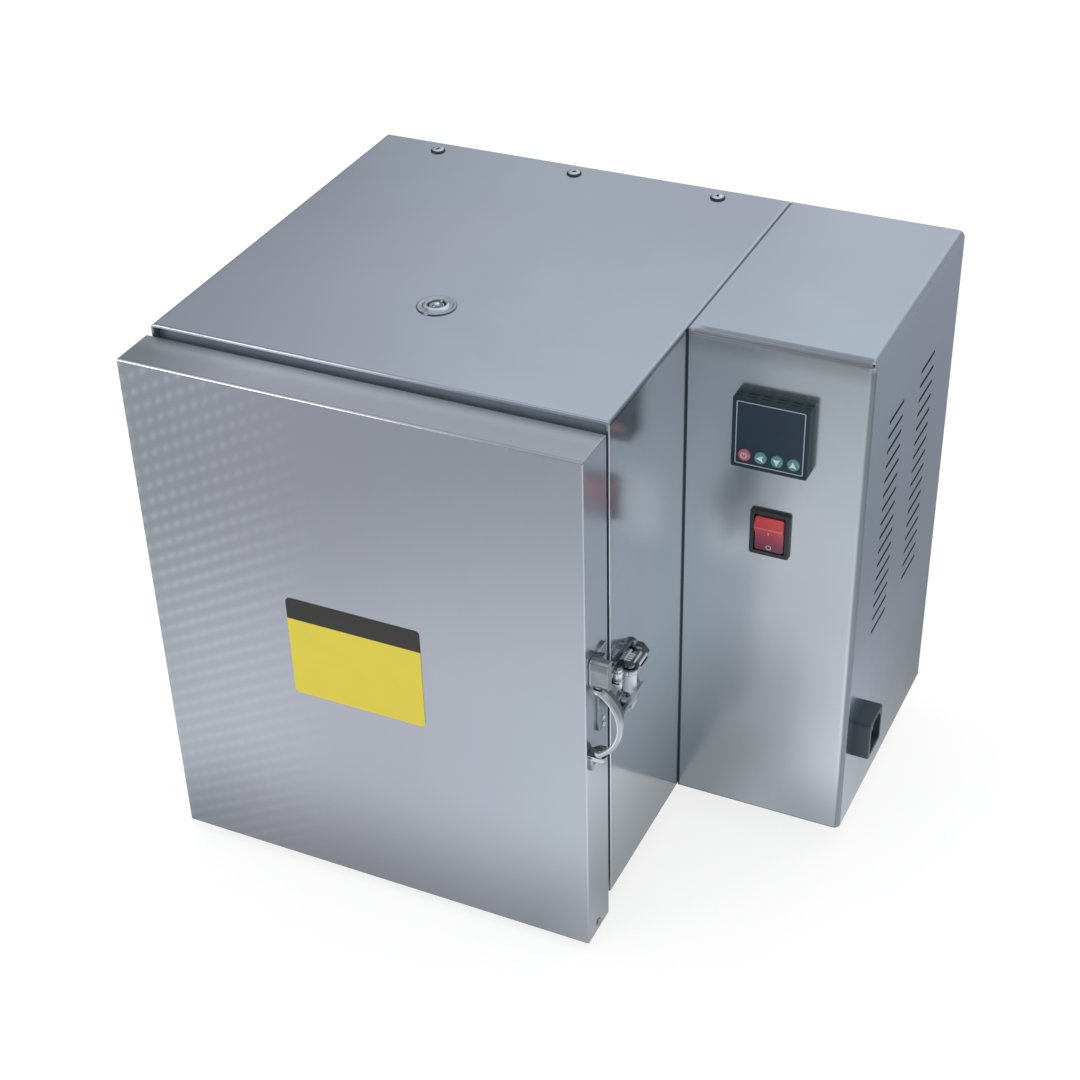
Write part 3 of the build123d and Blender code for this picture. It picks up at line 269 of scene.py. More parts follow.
# Where the sheets' sides begin, and where the painted reflection of dots ends, in mm
sheetEdges = {
    "wrapSide": 93.0,
    "boxSide": 208.3,
    "boxFront": -16.0,
    "beforeBox": -17.0,
    "top": 378.6,
    "doorTop": 371.6,
    "dotsTop": 371.2,
    "dotsDepth": 2.0,
}
finishes = {
    "darkSteel": {"colour": (0.12, 0.125, 0.135), "metal": 0.9, "roughness": 0.45, "cloud": 0.3},
    "frameSteel": {"colour": (0.36, 0.42, 0.52), "metal": 0.3, "roughness": 0.45, "cloud": 0.25},
    "ventSteel": {"colour": (0.41, 0.46, 0.52), "metal": 1.0, "roughness": 0.18, "cloud": 0.15},
    # Near white and not metal, as a painted highlight on the strike's ribs and on the rivets
    "paintedHighlightPale": {"colour": (0.82, 0.87, 0.94), "metal": 0.0, "roughness": 0.35, "cloud": 0.1},
    "rollerSatin": {"colour": (0.86, 0.9, 1.0), "metal": 0.1, "roughness": 0.4, "cloud": 0.15},
    "zincSheet": {"colour": (0.33, 0.345, 0.355), "metal": 0.9, "roughness": 0.42, "cloud": 0.3},
    "polishedSteel": {"colour": (0.46, 0.485, 0.51), "metal": 1.0, "roughness": 0.16, "cloud": 0.15},
    "fastenerSteel": {"colour": (0.4, 0.42, 0.44), "metal": 1.0, "roughness": 0.24, "cloud": 0.2},
    "hingeSteel": {"colour": (0.36, 0.38, 0.4), "metal": 1.0, "roughness": 0.34, "cloud": 0.2},
    "heatingAlloy": {"colour": (0.15, 0.12, 0.105), "metal": 0.7, "roughness": 0.55, "cloud": 0.5},
    "brassPin": {"colour": (0.62, 0.47, 0.2), "metal": 1.0, "roughness": 0.25, "cloud": 0.2},
    "sinkAluminium": {"colour": (0.5, 0.51, 0.52), "metal": 1.0, "roughness": 0.35, "cloud": 0.15},
}
# A painted reflection of a grid of light dots on the left of the door's front, in metres
reflectedDotGrid = {
    "columnPitch": 0.0084,
    "rowPitch": 0.0113,
    "closer": 80.0,
    "slant": 0.55,
    "merged": (0.3, 0.75),
    "mergedFrom": (0.04, 0.2),
    "left": -0.19,
    "right": -0.07,
    "foot": (0.14, 0.27),
    "footShare": 0.4,
    "cloudShare": 0.4,
    "strength": 0.33,
    "sharp": 1.6,
}
lineColours = {"pale": (0.88, 0.9, 0.93), "dark": (0.045, 0.052, 0.066)}
# The way of the rolled grain on each sheet
sheetGrain = {"topSheet": (1.0, 26.0, 26.0), "doorSheet": (26.0, 26.0, 1.0), "boxSheet": (26.0, 26.0, 1.0)}
# Light and shade on the sheets: two limits in mm along each axis, and the widths of their soft ends
sheetLines = {
    "topSheet": (
        {"Y": (-134.0, -132.4), "Z": (377.2, 380.0), "pale": 0.85, "fade": (-110.0, 20.0)},
        {"X": (-210.0, 92.5), "Y": (-131.9, -131.1), "Z": (378.7, 380.0), "dark": 0.35},
        {"X": (92.2, 93.0), "Y": (-130.6, 168.0), "Z": (376.4, 380.0), "dark": 0.2},
        {"X": (93.0, 95.0), "Y": (-130.6, 168.0), "Z": (376.2, 380.0), "dark": 0.5},
        {"X": (93.1, 95.0), "Y": (-134.0, -130.7), "Z": (25.0, 378.0), "pale": 0.22},
        {"X": (93.1, 95.0), "Y": (-130.5, -129.6), "Z": (25.0, 377.0), "dark": 0.25},
        {"X": (93.1, 95.0), "Y": (-18.3, -16.0), "Z": (25.0, 378.6), "dark": 0.85},
        {"X": (93.1, 95.0), "Y": (-134.0, -16.0), "Z": (24.0, 26.2), "dark": 0.5},
    ),
    "doorSheet": (
        {"Y": (-168.0, -165.95), "Z": (371.05, 373.0), "pale": 0.8, "fade": (-60.0, 60.0)},
        {"Y": (-165.5, -164.8), "Z": (371.5, 373.0), "dark": 0.3},
        {"X": (91.9, 94.0), "Y": (-168.0, -166.0), "pale": 0.1},
        {"Y": (-145.0, -132.0, 14.0, 0.24), "Z": (371.5, 373.0), "pale": 0.32},
        {
            "X": (-210.0, -100.0), "Y": (-165.4, -134.0), "Z": (371.5, 373.0), "dark": 0.4,
            "fade": (-208.0, -120.0),
        },
        {"Z": (7.0, 8.9), "dark": 0.4},
    ),
    "boxSheet": (
        {"X": (93.0, 94.9), "Y": (-18.0, -16.2), "dark": 0.9},
        {"X": (93.0, 94.5), "Y": (-16.2, 168.0), "Z": (378.5, 380.0), "dark": 0.8},
        {"X": (101.0, 206.5, 8.0, 3.0), "Y": (-18.0, -10.4, 0.2, 2.4), "Z": (378.7, 380.0), "dark": 0.5},
        {"X": (97.0, 206.0, 4.0, 2.0), "Y": (-18.0, -12.0), "Z": (376.9, 378.8, 0.8, 0.24), "dark": 0.42},
        {"Y": (-18.0, -15.4), "Z": (367.5, 375.3, 14.0, 0.6), "dark": 0.3},
        {
            "X": (110.0, 136.0, 20.0, 20.0), "Y": (-18.0, -16.0), "Z": (225.0, 272.0, 30.0, 30.0),
            "pale": 0.36,
        },
        {"X": (176.0, 208.0, 22.0, 1.0), "Y": (-18.0, -16.0), "Z": (70.0, 175.0, 60.0, 60.0), "pale": 0.14},
        {"X": (164.0, 213.0, 50.0, 1.0), "Y": (-18.0, -16.0), "Z": (20.0, 52.0, 1.0, 56.0), "dark": 0.4},
        {
            "X": (206.1, 210.0, 1.6, 1.0), "Y": (-18.0, -13.6, 1.0, 3.0), "Z": (24.0, 373.6, 0.24, 5.0),
            "dark": 0.6,
        },
        {"X": (208.4, 213.0), "Z": (20.0, 92.0, 1.0, 130.0), "dark": 0.62},
        {"Y": (-18.0, -16.0), "Z": (24.0, 25.9), "dark": 0.4},
    ),
}


def band(value, limits, soft=0.24):
    # 1 between these two limits in mm, with soft ends: their widths may follow the limits
    low, high, before, after = limits if len(limits) == 4 else (*limits, soft, soft)
    rise = value.smooth((low - before / 2) * mm, (low + before / 2) * mm)
    return rise * (1.0 - value.smooth((high - after / 2) * mm, (high + after / 2) * mm))


def drawLines(wire, apart, colour, lines):
    # Light on the bent edges and shade in the joints, each within its own limits
    for line in lines:
        amount = 1.0
        for axis in ("X", "Y", "Z"):
            if axis in line:
                amount = band(apart.output(axis), line[axis]) * amount
        if "fade" in line:
            first, last = line["fade"]
            amount = amount * (1.0 - apart.output("X").smooth(first * mm, last * mm))
        for kind, lineColour in lineColours.items():
            if kind in line:
                colour = mixColour(wire, amount * line[kind], colour, lineColour)
    return colour


def paintedDotReflection(wire, apart):
    # A painted reflection: rows of dots that rise to the right, and merge into streaks lower down
    low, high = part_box("door_skin")
    across, upward = apart.output("X"), apart.output("Z")
    under = high[2] - upward + (across - low[0]) * reflectedDotGrid["slant"]
    rows = under * (math.tau / reflectedDotGrid["rowPitch"]) + under * under * reflectedDotGrid["closer"]
    rows = wire.sum("SINE", rows) * 0.5 + 0.5
    columns = wire.sum("SINE", across * (math.tau / reflectedDotGrid["columnPitch"])) * 0.5 + 0.5
    first, last = reflectedDotGrid["merged"]
    merged = first + under.smooth(*reflectedDotGrid["mergedFrom"]) * (last - first)
    glow = (rows * (merged + columns * (1.0 - merged))) ** reflectedDotGrid["sharp"]
    fade = 1.0 - across.smooth(reflectedDotGrid["left"], reflectedDotGrid["right"])
    fade = fade * (reflectedDotGrid["footShare"] + upward.smooth(*reflectedDotGrid["foot"]) * (1.0 - reflectedDotGrid["footShare"]))
    fade = fade * upward.below(sheetEdges["dotsTop"] * mm)
    return glow * fade * apart.output("Y").below(low[1] + sheetEdges["dotsDepth"] * mm)


def steelSheet(name):
    # Rolled stainless sheet: fine grain one way, soft clouds of polish, fingerprints in the gloss, and
    # painted light and shade on its faces
    material, wire, shader, place = newMaterial(name)
    apart = splitPlace(wire, place)
    cloud = noise(wire, place, **sheetNoise["cloud"])
    grain = noise(wire, place, stretch=sheetGrain[name], **sheetNoise["grain"])
    wiped = noise(wire, place, **sheetNoise["wiped"])
    hue = noise(wire, place, **sheetNoise["hue"]).smooth(*sheetSteel["hueEdge"])
    tone = 0.5 + (cloud - 0.5) * sheetSteel["cloud"] + (grain - 0.5) * sheetSteel["grainColour"]
    # The door gets a painted reflection of a grid of light dots
    if name == "doorSheet":
        tone = tone + paintedDotReflection(wire, apart) * (reflectedDotGrid["cloudShare"] + cloud) * reflectedDotGrid["strength"]
    # Painted light: a lit or shaded tone for each face, chosen by where the face lies
    paintedFaceTones = {}
    for key in ("level", "upright", "beside", "right"):
        warm = [channel * change for channel, change in zip(sheetSteel[key], sheetSteel["warm"])]
        paintedFaceTones[key] = mixColour(wire, hue, sheetSteel[key], warm)
    beside = apart.output("X").above(sheetEdges["wrapSide"] * mm)
    right = apart.output("X").above(sheetEdges["boxSide"] * mm)
    onTop = apart.output("Z").above(sheetEdges["top"] * mm)
    colour = mixColour(wire, beside, paintedFaceTones["upright"], paintedFaceTones["beside"])
    colour = mixColour(wire, right, colour, paintedFaceTones["right"])
    colour = mixColour(wire, onTop, colour, paintedFaceTones["level"])
    toned = wire.make(
        "ShaderNodeMix",
        {"data_type": "RGBA", "blend_type": "MULTIPLY"},
        {"Factor": 1.0, 6: colour, 7: tint(wire, (1.0, 1.0, 1.0), tone)},
        2,
    )
    wrapSide = beside * (1.0 - onTop) * apart.output("Y").below(sheetEdges["beforeBox"] * mm)
    gloss = wrapSide * (sheetSteel["roughness"] - sheetSteel["smoothBeside"])
    if name == "doorSheet":
        doorTop = apart.output("Z").above(sheetEdges["doorTop"] * mm)
        gloss = doorTop * (sheetSteel["roughness"] - sheetSteel["levelDoor"])
    if name == "boxSheet":
        dull = sheetSteel["dullBox"]
        worn = band(apart.output("X"), dull["X"]) * band(apart.output("Z"), dull["Z"])
        worn = worn * apart.output("Y").below(sheetEdges["boxFront"] * mm)
        gloss = worn * (sheetSteel["roughness"] - dull["roughness"])
    rough = sheetSteel["roughness"] - gloss + (wiped - 0.5) * sheetSteel["wipedGloss"]
    feed(
        shader,
        baseColor=drawLines(wire, apart, toned, sheetLines[name]),
        metallic=sheetSteel["metal"],
        roughness=rough + (grain - 0.5) * sheetSteel["grainGloss"],
        normal=bump(wire, grain, sheetSteel["grainDepth"], 0.0004),
    )
    return material


metalGrain = {"scale": 900.0, "detail": 3.0, "depth": 0.05, "distance": 0.0002}


def feedMetal(wire, shader, place, colour, metal, roughness, uneven=0.1):
    # This colour and gloss, with the fine grain of small metal parts
    fine = noise(wire, place, metalGrain["scale"], metalGrain["detail"])
    feed(
        shader,
        baseColor=colour,
        metallic=metal,
        roughness=roughness + (fine - 0.5) * uneven,
        normal=bump(wire, fine, metalGrain["depth"], metalGrain["distance"]),
    )


def plainMetal(name, values):
    material, wire, shader, place = newMaterial(name)
    cloud = noise(wire, place, scale=60.0, detail=3.0)
    colour = tint(wire, values["colour"], 0.5 + (cloud - 0.5) * values["cloud"])
    feedMetal(wire, shader, place, colour, values["metal"], (cloud - 0.5) * 0.1 + values["roughness"], 0.12)
    return material


chromeLook = {
    "dark": (0.25, 0.272, 0.29),
    "light": (0.6, 0.64, 0.68),
    "patches": {"scale": 130.0, "detail": 2.0, "stretch": (0.7, 0.5, 1.5)},
    "patchEdge": (0.42, 0.62),
    # A painted highlight on the top of the strike's lower lug
    "lug": {"Y": (-128.0, -116.0), "Z": (170.0, 182.0), "colour": (0.86, 0.91, 0.96), "share": 0.8},
    "roughness": 0.14,
}
housingLook = {
    "metal": (0.31, 0.35, 0.37),
    "cloud": 0.7,
    "roughness": 0.24,
    "lines": (
        {"X": (92.0, 94.3), "Y": (-165.0, -160.5), "pale": 0.6},
        {"Z": (214.0, 216.0), "Y": (-165.0, -156.0), "pale": 0.35},
        {"Y": (-165.0, -162.9), "Z": (216.0, 223.0), "pale": 0.25},
        {"Z": (233.6, 236.0), "pale": 0.3},
    ),
}
# Painted shade on the screw heads' rims and a painted highlight on their crowns
screwShineLook = {
    "below": 0.65,
    "above": 0.35,
    "rim": (0.07, 0.08, 0.09),
    "crown": (0.62, 0.67, 0.73),
    "roughness": 0.24,
}
bowLook = {
    # Painted light on the bow: bar and foot tones, a painted highlight (glint) on the inner edge, and
    # painted shade on the web
    "bar": (0.45, 0.49, 0.53),
    "web": (0.19, 0.21, 0.22),
    "foot": (0.44, 0.48, 0.52),
    "footFade": 0.7,
    "glint": (0.93, 0.95, 0.98),
    "glintWide": 0.9,
    "glintEdge": (0.3, 0.2),
    "glintFront": (-161.6, -160.8),
    "webFrom": (-158.9, -158.3),
    "webTo": -152.5,
    "roughness": 0.2,
}


def latchChrome():
    # Bright plated steel with dark and light patches of painted reflection, as small bent parts show, and a
    # painted highlight on the lower lug
    material, wire, shader, place = newMaterial("latchChrome")
    apart = splitPlace(wire, place)
    patches = noise(wire, place, **chromeLook["patches"]).smooth(*chromeLook["patchEdge"])
    colour = mixColour(wire, patches, chromeLook["dark"], chromeLook["light"])
    lug = chromeLook["lug"]
    paintedLugHighlight = band(apart.output("Y"), lug["Y"]) * band(apart.output("Z"), lug["Z"])
    colour = mixColour(wire, paintedLugHighlight * lug["share"], colour, lug["colour"])
    feedMetal(wire, shader, place, colour, 1.0, chromeLook["roughness"])
    return material


def topScrewPaintedShine():
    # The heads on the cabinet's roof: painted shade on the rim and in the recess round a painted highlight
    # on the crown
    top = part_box("top_screws")[1][2]
    material, wire, shader, place = newMaterial("topScrewPaintedShine")
    height = splitPlace(wire, place).output("Z")
    crown = height.smooth(top - screwShineLook["below"] * mm, top - screwShineLook["above"] * mm)
    colour = mixColour(wire, crown, screwShineLook["rim"], screwShineLook["crown"])
    feedMetal(wire, shader, place, colour, 1.0, screwShineLook["roughness"])
    return material


def housingSteel():
    # The housing's satin plate, with light along its bent edges
    material, wire, shader, place = newMaterial("housingSteel")
    cloud = noise(wire, place, scale=90.0, detail=2.0)
    colour = tint(wire, housingLook["metal"], 0.5 + (cloud - 0.5) * housingLook["cloud"])
    colour = drawLines(wire, splitPlace(wire, place), colour, housingLook["lines"])
    feedMetal(wire, shader, place, colour, 0.9, housingLook["roughness"])
    return material


def bowChrome():
    # The bow: a grey bar with a painted highlight on its inner edge, a painted tone towards its foot, and
    # painted shade on the web behind it
    low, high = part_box("latch_handle")
    centreX, middle, radius = bowArc()[:3]
    material, wire, shader, place = newMaterial("bowChrome")
    apart = splitPlace(wire, place)
    fine = noise(wire, place, scale=420.0, detail=3.0, stretch=(1.0, 1.0, 0.3))
    fadeEnd = low[2] + (high[2] - low[2]) * bowLook["footFade"]
    down = 1.0 - apart.output("Z").smooth(low[2], fadeEnd)
    webFrom, webFull = bowLook["webFrom"]
    paintedWebShade = apart.output("Y").smooth(webFrom * mm, webFull * mm)
    paintedWebShade = paintedWebShade * apart.output("Y").below(bowLook["webTo"] * mm)
    colour = mixColour(wire, down, bowLook["bar"], bowLook["foot"])
    colour = mixColour(wire, paintedWebShade, colour, bowLook["web"])
    outX = apart.output("X") - centreX * mm
    outZ = apart.output("Z") - middle * mm
    inner = radius - handleLook["thick"] + bowLook["glintWide"]
    before, after = bowLook["glintEdge"]
    reach = wire.sum("SQRT", outX * outX + outZ * outZ)
    nearInner = 1.0 - reach.smooth((inner - before) * mm, (inner + after) * mm)
    first, last = bowLook["glintFront"]
    onFront = 1.0 - apart.output("Y").smooth(first * mm, last * mm)
    feed(
        shader,
        baseColor=mixColour(wire, nearInner * onFront, colour, bowLook["glint"]),
        metallic=0.9,
        roughness=bowLook["roughness"] + (fine - 0.5) * 0.16,
        normal=bump(wire, fine, 0.05, 0.0003),
    )
    return material


plastics = {
    "blackPlastic": {"colour": (0.026, 0.034, 0.041), "roughness": 0.42, "grain": 0.12},
    "inletPlastic": {"colour": (0.042, 0.064, 0.078), "roughness": 0.42, "grain": 0.12},
    "rubber": {"colour": (0.022, 0.022, 0.023), "roughness": 0.75, "grain": 0.3},
    "redKey": {"colour": (0.42, 0.185, 0.23), "roughness": 0.35, "grain": 0.05},
    "greenKey": {"colour": (0.14, 0.33, 0.35), "roughness": 0.35, "grain": 0.05},
    "whiteMark": {"colour": (0.72, 0.72, 0.72), "roughness": 0.5, "grain": 0.02},
    "paleLine": {"colour": (0.5, 0.58, 0.64), "roughness": 0.4, "grain": 0.02},
    "mintMark": {"colour": (0.76, 1.0, 1.0), "roughness": 0.4, "grain": 0.02},
    "roseMark": {"colour": (0.95, 0.5, 0.56), "roughness": 0.4, "grain": 0.02},
}


def plasticTone(wire, place, colour):
    # The colour with the broad clouds of moulded plastic, those clouds, and its fine grain
    broad = noise(wire, place, scale=45.0, detail=3.0)
    fine = noise(wire, place, scale=1800.0, detail=2.0)
    return tint(wire, colour, 0.5 + (broad - 0.5) * 0.3), broad, fine


def moulded(name, values):
    material, wire, shader, place = newMaterial(name)
    colour, broad, fine = plasticTone(wire, place, values["colour"])
    feed(
        shader,
        baseColor=colour,
        roughness=values["roughness"] + (broad - 0.5) * 0.1,
        normal=bump(wire, fine, values["grain"], 0.0002),
    )
    return material


fibreLook = {"dark": (0.74, 0.72, 0.66), "pale": (0.85, 0.84, 0.8), "roughness": 0.92}
brickLook = {
    "dark": (0.7, 0.65, 0.56),
    "pale": (0.8, 0.77, 0.7),
    "pore": (0.42, 0.37, 0.3),
    "poreEdge": (0.05, 0.32),
    "poreShare": 0.35,
    "roughness": 0.88,
}
faceLook = {
    "dark": (0.023, 0.045, 0.076),
    "pale": (0.031, 0.057, 0.09),
    "roughness": 0.3,
    "specular": 0.25,
    "spillEdge": (4.0, 5.6),
    "spillShare": 0.8,
    "spills": {
        "key_set": (0.12, 0.03, 0.045),
        "key_shift": (0.02, 0.085, 0.085),
        "key_down": (0.02, 0.085, 0.085),
        "key_up": (0.02, 0.085, 0.085),
    },
}
caseLook = {
    "colour": (0.040, 0.066, 0.074),
    "rim": (0.022, 0.042, 0.062),
    "rimEdge": (0.8, 1.2),
    "slot": (0.006, 0.008, 0.010),
    "slotShare": 0.55,
    "rows": (2.0, 5.4),
    "width": 1.5,
    "pitch": 9.0,
    "bridge": -0.55,
    "depth": 0.3,
    "roughness": 0.48,
    "specular": 0.3,
}
plateLook = {
    "height": 15.5,
    "soft": 0.1,
    "yellow": (0.82, 0.69, 0.06),
    "worn": 0.94,
    "dark": (0.02, 0.021, 0.017),
    "roughness": 0.34,
}
redLook = {
    # Painted light: the rocker runs from a shaded low red to a lit high red, with a painted highlight at
    # the crease
    "low": (0.2, 0.035, 0.095),
    "high": (0.86, 0.09, 0.105),
    "crease": {"below": 6.6, "soft": (0.7, 0.5), "share": 0.45, "colour": (0.9, 0.5, 0.5)},
    "roughness": 0.34,
    "coat": 0.15,
}


def fibreBoard():
    material, wire, shader, place = newMaterial("fibreBoard")
    fibres = noise(wire, place, scale=240.0, detail=6.0, rough=0.7, stretch=(1.0, 1.0, 3.0))
    patches = noise(wire, place, scale=22.0, detail=3.0)
    feed(
        shader,
        baseColor=mixColour(wire, patches, fibreLook["dark"], fibreLook["pale"]),
        roughness=fibreLook["roughness"],
        normal=bump(wire, fibres, 0.6, 0.0012),
    )
    return material


def refractory():
    material, wire, shader, place = newMaterial("refractory")
    grit = noise(wire, place, scale=320.0, detail=5.0, rough=0.7)
    pores = wire.make("ShaderNodeTexVoronoi", None, {"Vector": place, "Scale": 420.0})
    stain = noise(wire, place, scale=14.0, detail=4.0, rough=0.6)
    pore = 1.0 - pores.smooth(*brickLook["poreEdge"])
    colour = mixColour(wire, stain, brickLook["dark"], brickLook["pale"])
    feed(
        shader,
        baseColor=mixColour(wire, pore * brickLook["poreShare"], colour, brickLook["pore"]),
        roughness=brickLook["roughness"],
        normal=bump(wire, grit - pore * 0.6, 0.5, 0.0008),
    )
    return material


def panelFace():
    # Dark glossy face, with painted light in the colour of each key spilt round it
    material, wire, shader, place = newMaterial("panelFace")
    apart = splitPlace(wire, place)
    haze = noise(wire, place, scale=60.0, detail=3.0)
    colour = mixColour(wire, haze, faceLook["dark"], faceLook["pale"])
    first, last = faceLook["spillEdge"]
    for key, spill in faceLook["spills"].items():
        low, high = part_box(key)
        across = apart.output("X") - (low[0] + high[0]) / 2
        upward = apart.output("Z") - (low[2] + high[2]) / 2
        reach = wire.sum("SQRT", across * across + upward * upward)
        near = 1.0 - reach.smooth(first * mm, last * mm)
        colour = mixColour(wire, near * faceLook["spillShare"], colour, spill)
    feed(
        shader,
        baseColor=colour,
        roughness=faceLook["roughness"] + (haze - 0.5) * 0.08,
    )
    shader.made.inputs["Specular IOR Level"].default_value = faceLook["specular"]
    return material


def caseShell():
    # Dark moulded case, with two rows of vent slots in its upper side
    low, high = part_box("controller_case")
    material, wire, shader, place = newMaterial("caseShell")
    apart = splitPlace(wire, place)
    onTop = apart.output("Z").above(high[2] - caseLook["depth"] * mm)
    wave = wire.sum("SINE", (apart.output("X") - low[0]) * (math.tau / (caseLook["pitch"] * mm)))
    row = 0.0
    for start in caseLook["rows"]:
        front = low[1] + start * mm
        back = front + caseLook["width"] * mm
        row = row + apart.output("Y").above(front) * apart.output("Y").below(back)
    slot = onTop * row * wave.above(caseLook["bridge"])
    shell, _, fine = plasticTone(wire, place, caseLook["colour"])
    first, last = caseLook["rimEdge"]
    onRim = 1.0 - apart.output("Y").smooth(low[1] + first * mm, low[1] + last * mm)
    shell = mixColour(wire, onRim, shell, caseLook["rim"])
    feed(
        shader,
        baseColor=mixColour(wire, slot * caseLook["slotShare"], shell, caseLook["slot"]),
        roughness=caseLook["roughness"] + slot * 0.3,
        normal=bump(wire, fine * 0.1 - slot, 0.3, 0.0004),
    )
    shader.made.inputs["Specular IOR Level"].default_value = caseLook["specular"]
    return material


def plateFilm():
    # Plain yellow film with a dark band along its top
    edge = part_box("label_plate")[1][2] / mm - plateLook["height"]
    material, wire, shader, place = newMaterial("plateFilm")
    soft = plateLook["soft"]
    onBand = splitPlace(wire, place).output("Z").smooth((edge - soft) * mm, (edge + soft) * mm)
    mottle = noise(wire, place, scale=70.0, detail=3.0)
    worn = [channel * plateLook["worn"] for channel in plateLook["yellow"]]
    yellow = mixColour(wire, mottle, plateLook["yellow"], worn)
    feed(
        shader,
        baseColor=mixColour(wire, onBand, yellow, plateLook["dark"]),
        roughness=plateLook["roughness"] + (mottle - 0.5) * 0.12,
    )
    return material


# Clear red plastic, brighter towards its upper end as painted light, with a painted highlight along the
# crease
def clearRed():
    low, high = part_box("switch_rocker")
    material, wire, shader, place = newMaterial("clearRed")
    height = splitPlace(wire, place).output("Z")
    colour = mixColour(wire, height.smooth(low[2], high[2]), redLook["low"], redLook["high"])
    crease = redLook["crease"]
    middle = high[2] - crease["below"] * mm
    before, after = crease["soft"]
    glint = height.smooth(middle - before * mm, middle)
    glint = glint * (1.0 - height.smooth(middle, middle + after * mm))
    feed(
        shader,
        baseColor=mixColour(wire, glint * crease["share"], colour, crease["colour"]),
        roughness=redLook["roughness"],
        coatWeight=redLook["coat"],
    )
    return material


def makeMaterials():
    made = {name: plainMetal(name, values) for name, values in finishes.items()}
    made.update({name: steelSheet(name) for name in sheetGrain})
    made.update({name: moulded(name, values) for name, values in plastics.items()})
    made["caseShell"] = caseShell()
    made["topScrewPaintedShine"] = topScrewPaintedShine()
    made["latchChrome"] = latchChrome()
    made["housingSteel"] = housingSteel()
    made["bowChrome"] = bowChrome()
    made["ventPaintedShine"] = ventPaintedShine()
    made["fibreBoard"] = fibreBoard()
    made["refractory"] = refractory()
    made["panelFace"] = panelFace()
    made["plateFilm"] = plateFilm()
    made["clearRed"] = clearRed()
    return made


coats = {
    "topSheet": ["cabinet_wrap"],
    "doorSheet": ["door_skin"],
    "boxSheet": ["control_cover", "control_side", "control_back"],
    "darkSteel": ["door_liner", "plug_frame"],
    "frameSteel": ["front_frame"],
    "zincSheet": ["back_panel", "base_panel", "control_base"],
    "polishedSteel": ["latch_handle", "latch_base", "latch_barrel", "strike_plate"],
    "latchChrome": ["latch_lower_bracket"],
    "paintedHighlightPale": ["latch_rivets"],
    "rollerSatin": ["strike_roller"],
    "ventSteel": ["vent_bush", "vent_plug"],
    "fastenerSteel": [
        "top_screws", "plug_screws", "door_screws", "cabinet_hinge_screws", "door_hinge_screws",
        "latch_pins", "strike_axle", "strike_screws", "hinge_pins",
    ],
    "hingeSteel": ["cabinet_hinge_leaves", "door_hinge_leaves"],
    "fibreBoard": [
        "insulation_left", "insulation_right", "insulation_roof", "insulation_floor", "insulation_back",
        "door_insulation", "door_plug",
    ],
    "refractory": ["muffle_side_plates", "muffle_roof_floor", "muffle_back_plate", "hearth_plate"],
    "heatingAlloy": ["heating_elements", "probe_sheath"],
    "blackPlastic": ["switch_bezel", "probe_head", "power_relay"],
    "inletPlastic": ["inlet_socket"],
    "caseShell": ["controller_case"],
    "panelFace": ["controller_face"],
    "clearRed": ["switch_rocker"],
    "redKey": ["key_set"],
    "greenKey": ["key_shift", "key_down", "key_up"],
    "rubber": ["feet"],
    "brassPin": ["inlet_pins"],
    "plateFilm": ["label_plate"],
    "sinkAluminium": ["relay_heat_sink"],
}


def coatPieces(materials):
    for name, pieces in coats.items():
        for piece in pieces:
            data = nodes[piece].data
            data.materials.clear()
            data.materials.append(materials[name])


# Geometry Nodes for what repeats

def startGroup(name, fields):
    # An empty group with a mesh and these fields as its inputs, and the wire of its inputs
    tree = bpy.data.node_groups.new(name, "GeometryNodeTree")
    tree.interface.new_socket("Points", in_out="INPUT", socket_type="NodeSocketGeometry")
    for label, kind in fields.items():
        tree.interface.new_socket(label, in_out="INPUT", socket_type="NodeSocket" + kind)
    tree.interface.new_socket("Geometry", in_out="OUTPUT", socket_type="NodeSocketGeometry")
    wire = Wire(tree)
    return tree, wire, wire.make("NodeGroupInput")


def closeGroup(wire, given, shape):
    whole = wire.make("GeometryNodeRealizeInstances", None, {"Geometry": shape})
    values = {"Geometry": whole, "Material": given.output("Material")}
    coated = wire.make("GeometryNodeSetMaterial", None, values)
    wire.make("NodeGroupOutput", None, {"Geometry": coated})


def grow(name, tree, points, values):
    # The group run on these points with these inputs, and its result as a plain mesh piece
    data = bpy.data.meshes.new(name + "Points")
    data.from_pydata(points, [], [])
    start = bpy.data.objects.new(name + "Points", data)
    scene.collection.objects.link(start)
    modifier = start.modifiers.new("repeat", "NODES")
    modifier.node_group = tree
    for item in tree.interface.items_tree:
        if item.in_out == "INPUT" and item.name in values:
            modifier[item.identifier] = values[item.name]
    bpy.context.view_layer.update()
    grown = bpy.data.meshes.new_from_object(start.evaluated_get(bpy.context.evaluated_depsgraph_get()))
    grown.name = name
    bpy.data.objects.remove(start)
    return showPiece(name, grown)


def showPiece(name, data):
    piece = bpy.data.objects.new(name, data)
    scene.collection.objects.link(piece)
    return piece


def settle(piece, body, replaced=()):
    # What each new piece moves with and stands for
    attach(piece, body)
    if replaced:
        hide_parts(*replaced)


def meshFrom(name, corners, faces, material, smooth=True):
    data = bpy.data.meshes.new(name)
    data.from_pydata([Vector(corner) * mm for corner in corners], [], faces)
    work = bmesh.new()
    work.from_mesh(data)
    bmesh.ops.remove_doubles(work, verts=work.verts, dist=weld)
    bmesh.ops.recalc_face_normals(work, faces=work.faces)
    for face in work.faces:
        face.smooth = smooth
    work.to_mesh(data)
    work.free()
    data.materials.append(material)
    return data


def joinRings(faces, first, second, count):
    # The faces between two rings of corners, which start at these indices
    for index in range(count):
        after = (index + 1) % count
        faces.append([first + index, first + after, second + after, second + index])


def inMm(corners):
    return [corner / mm for corner in corners]


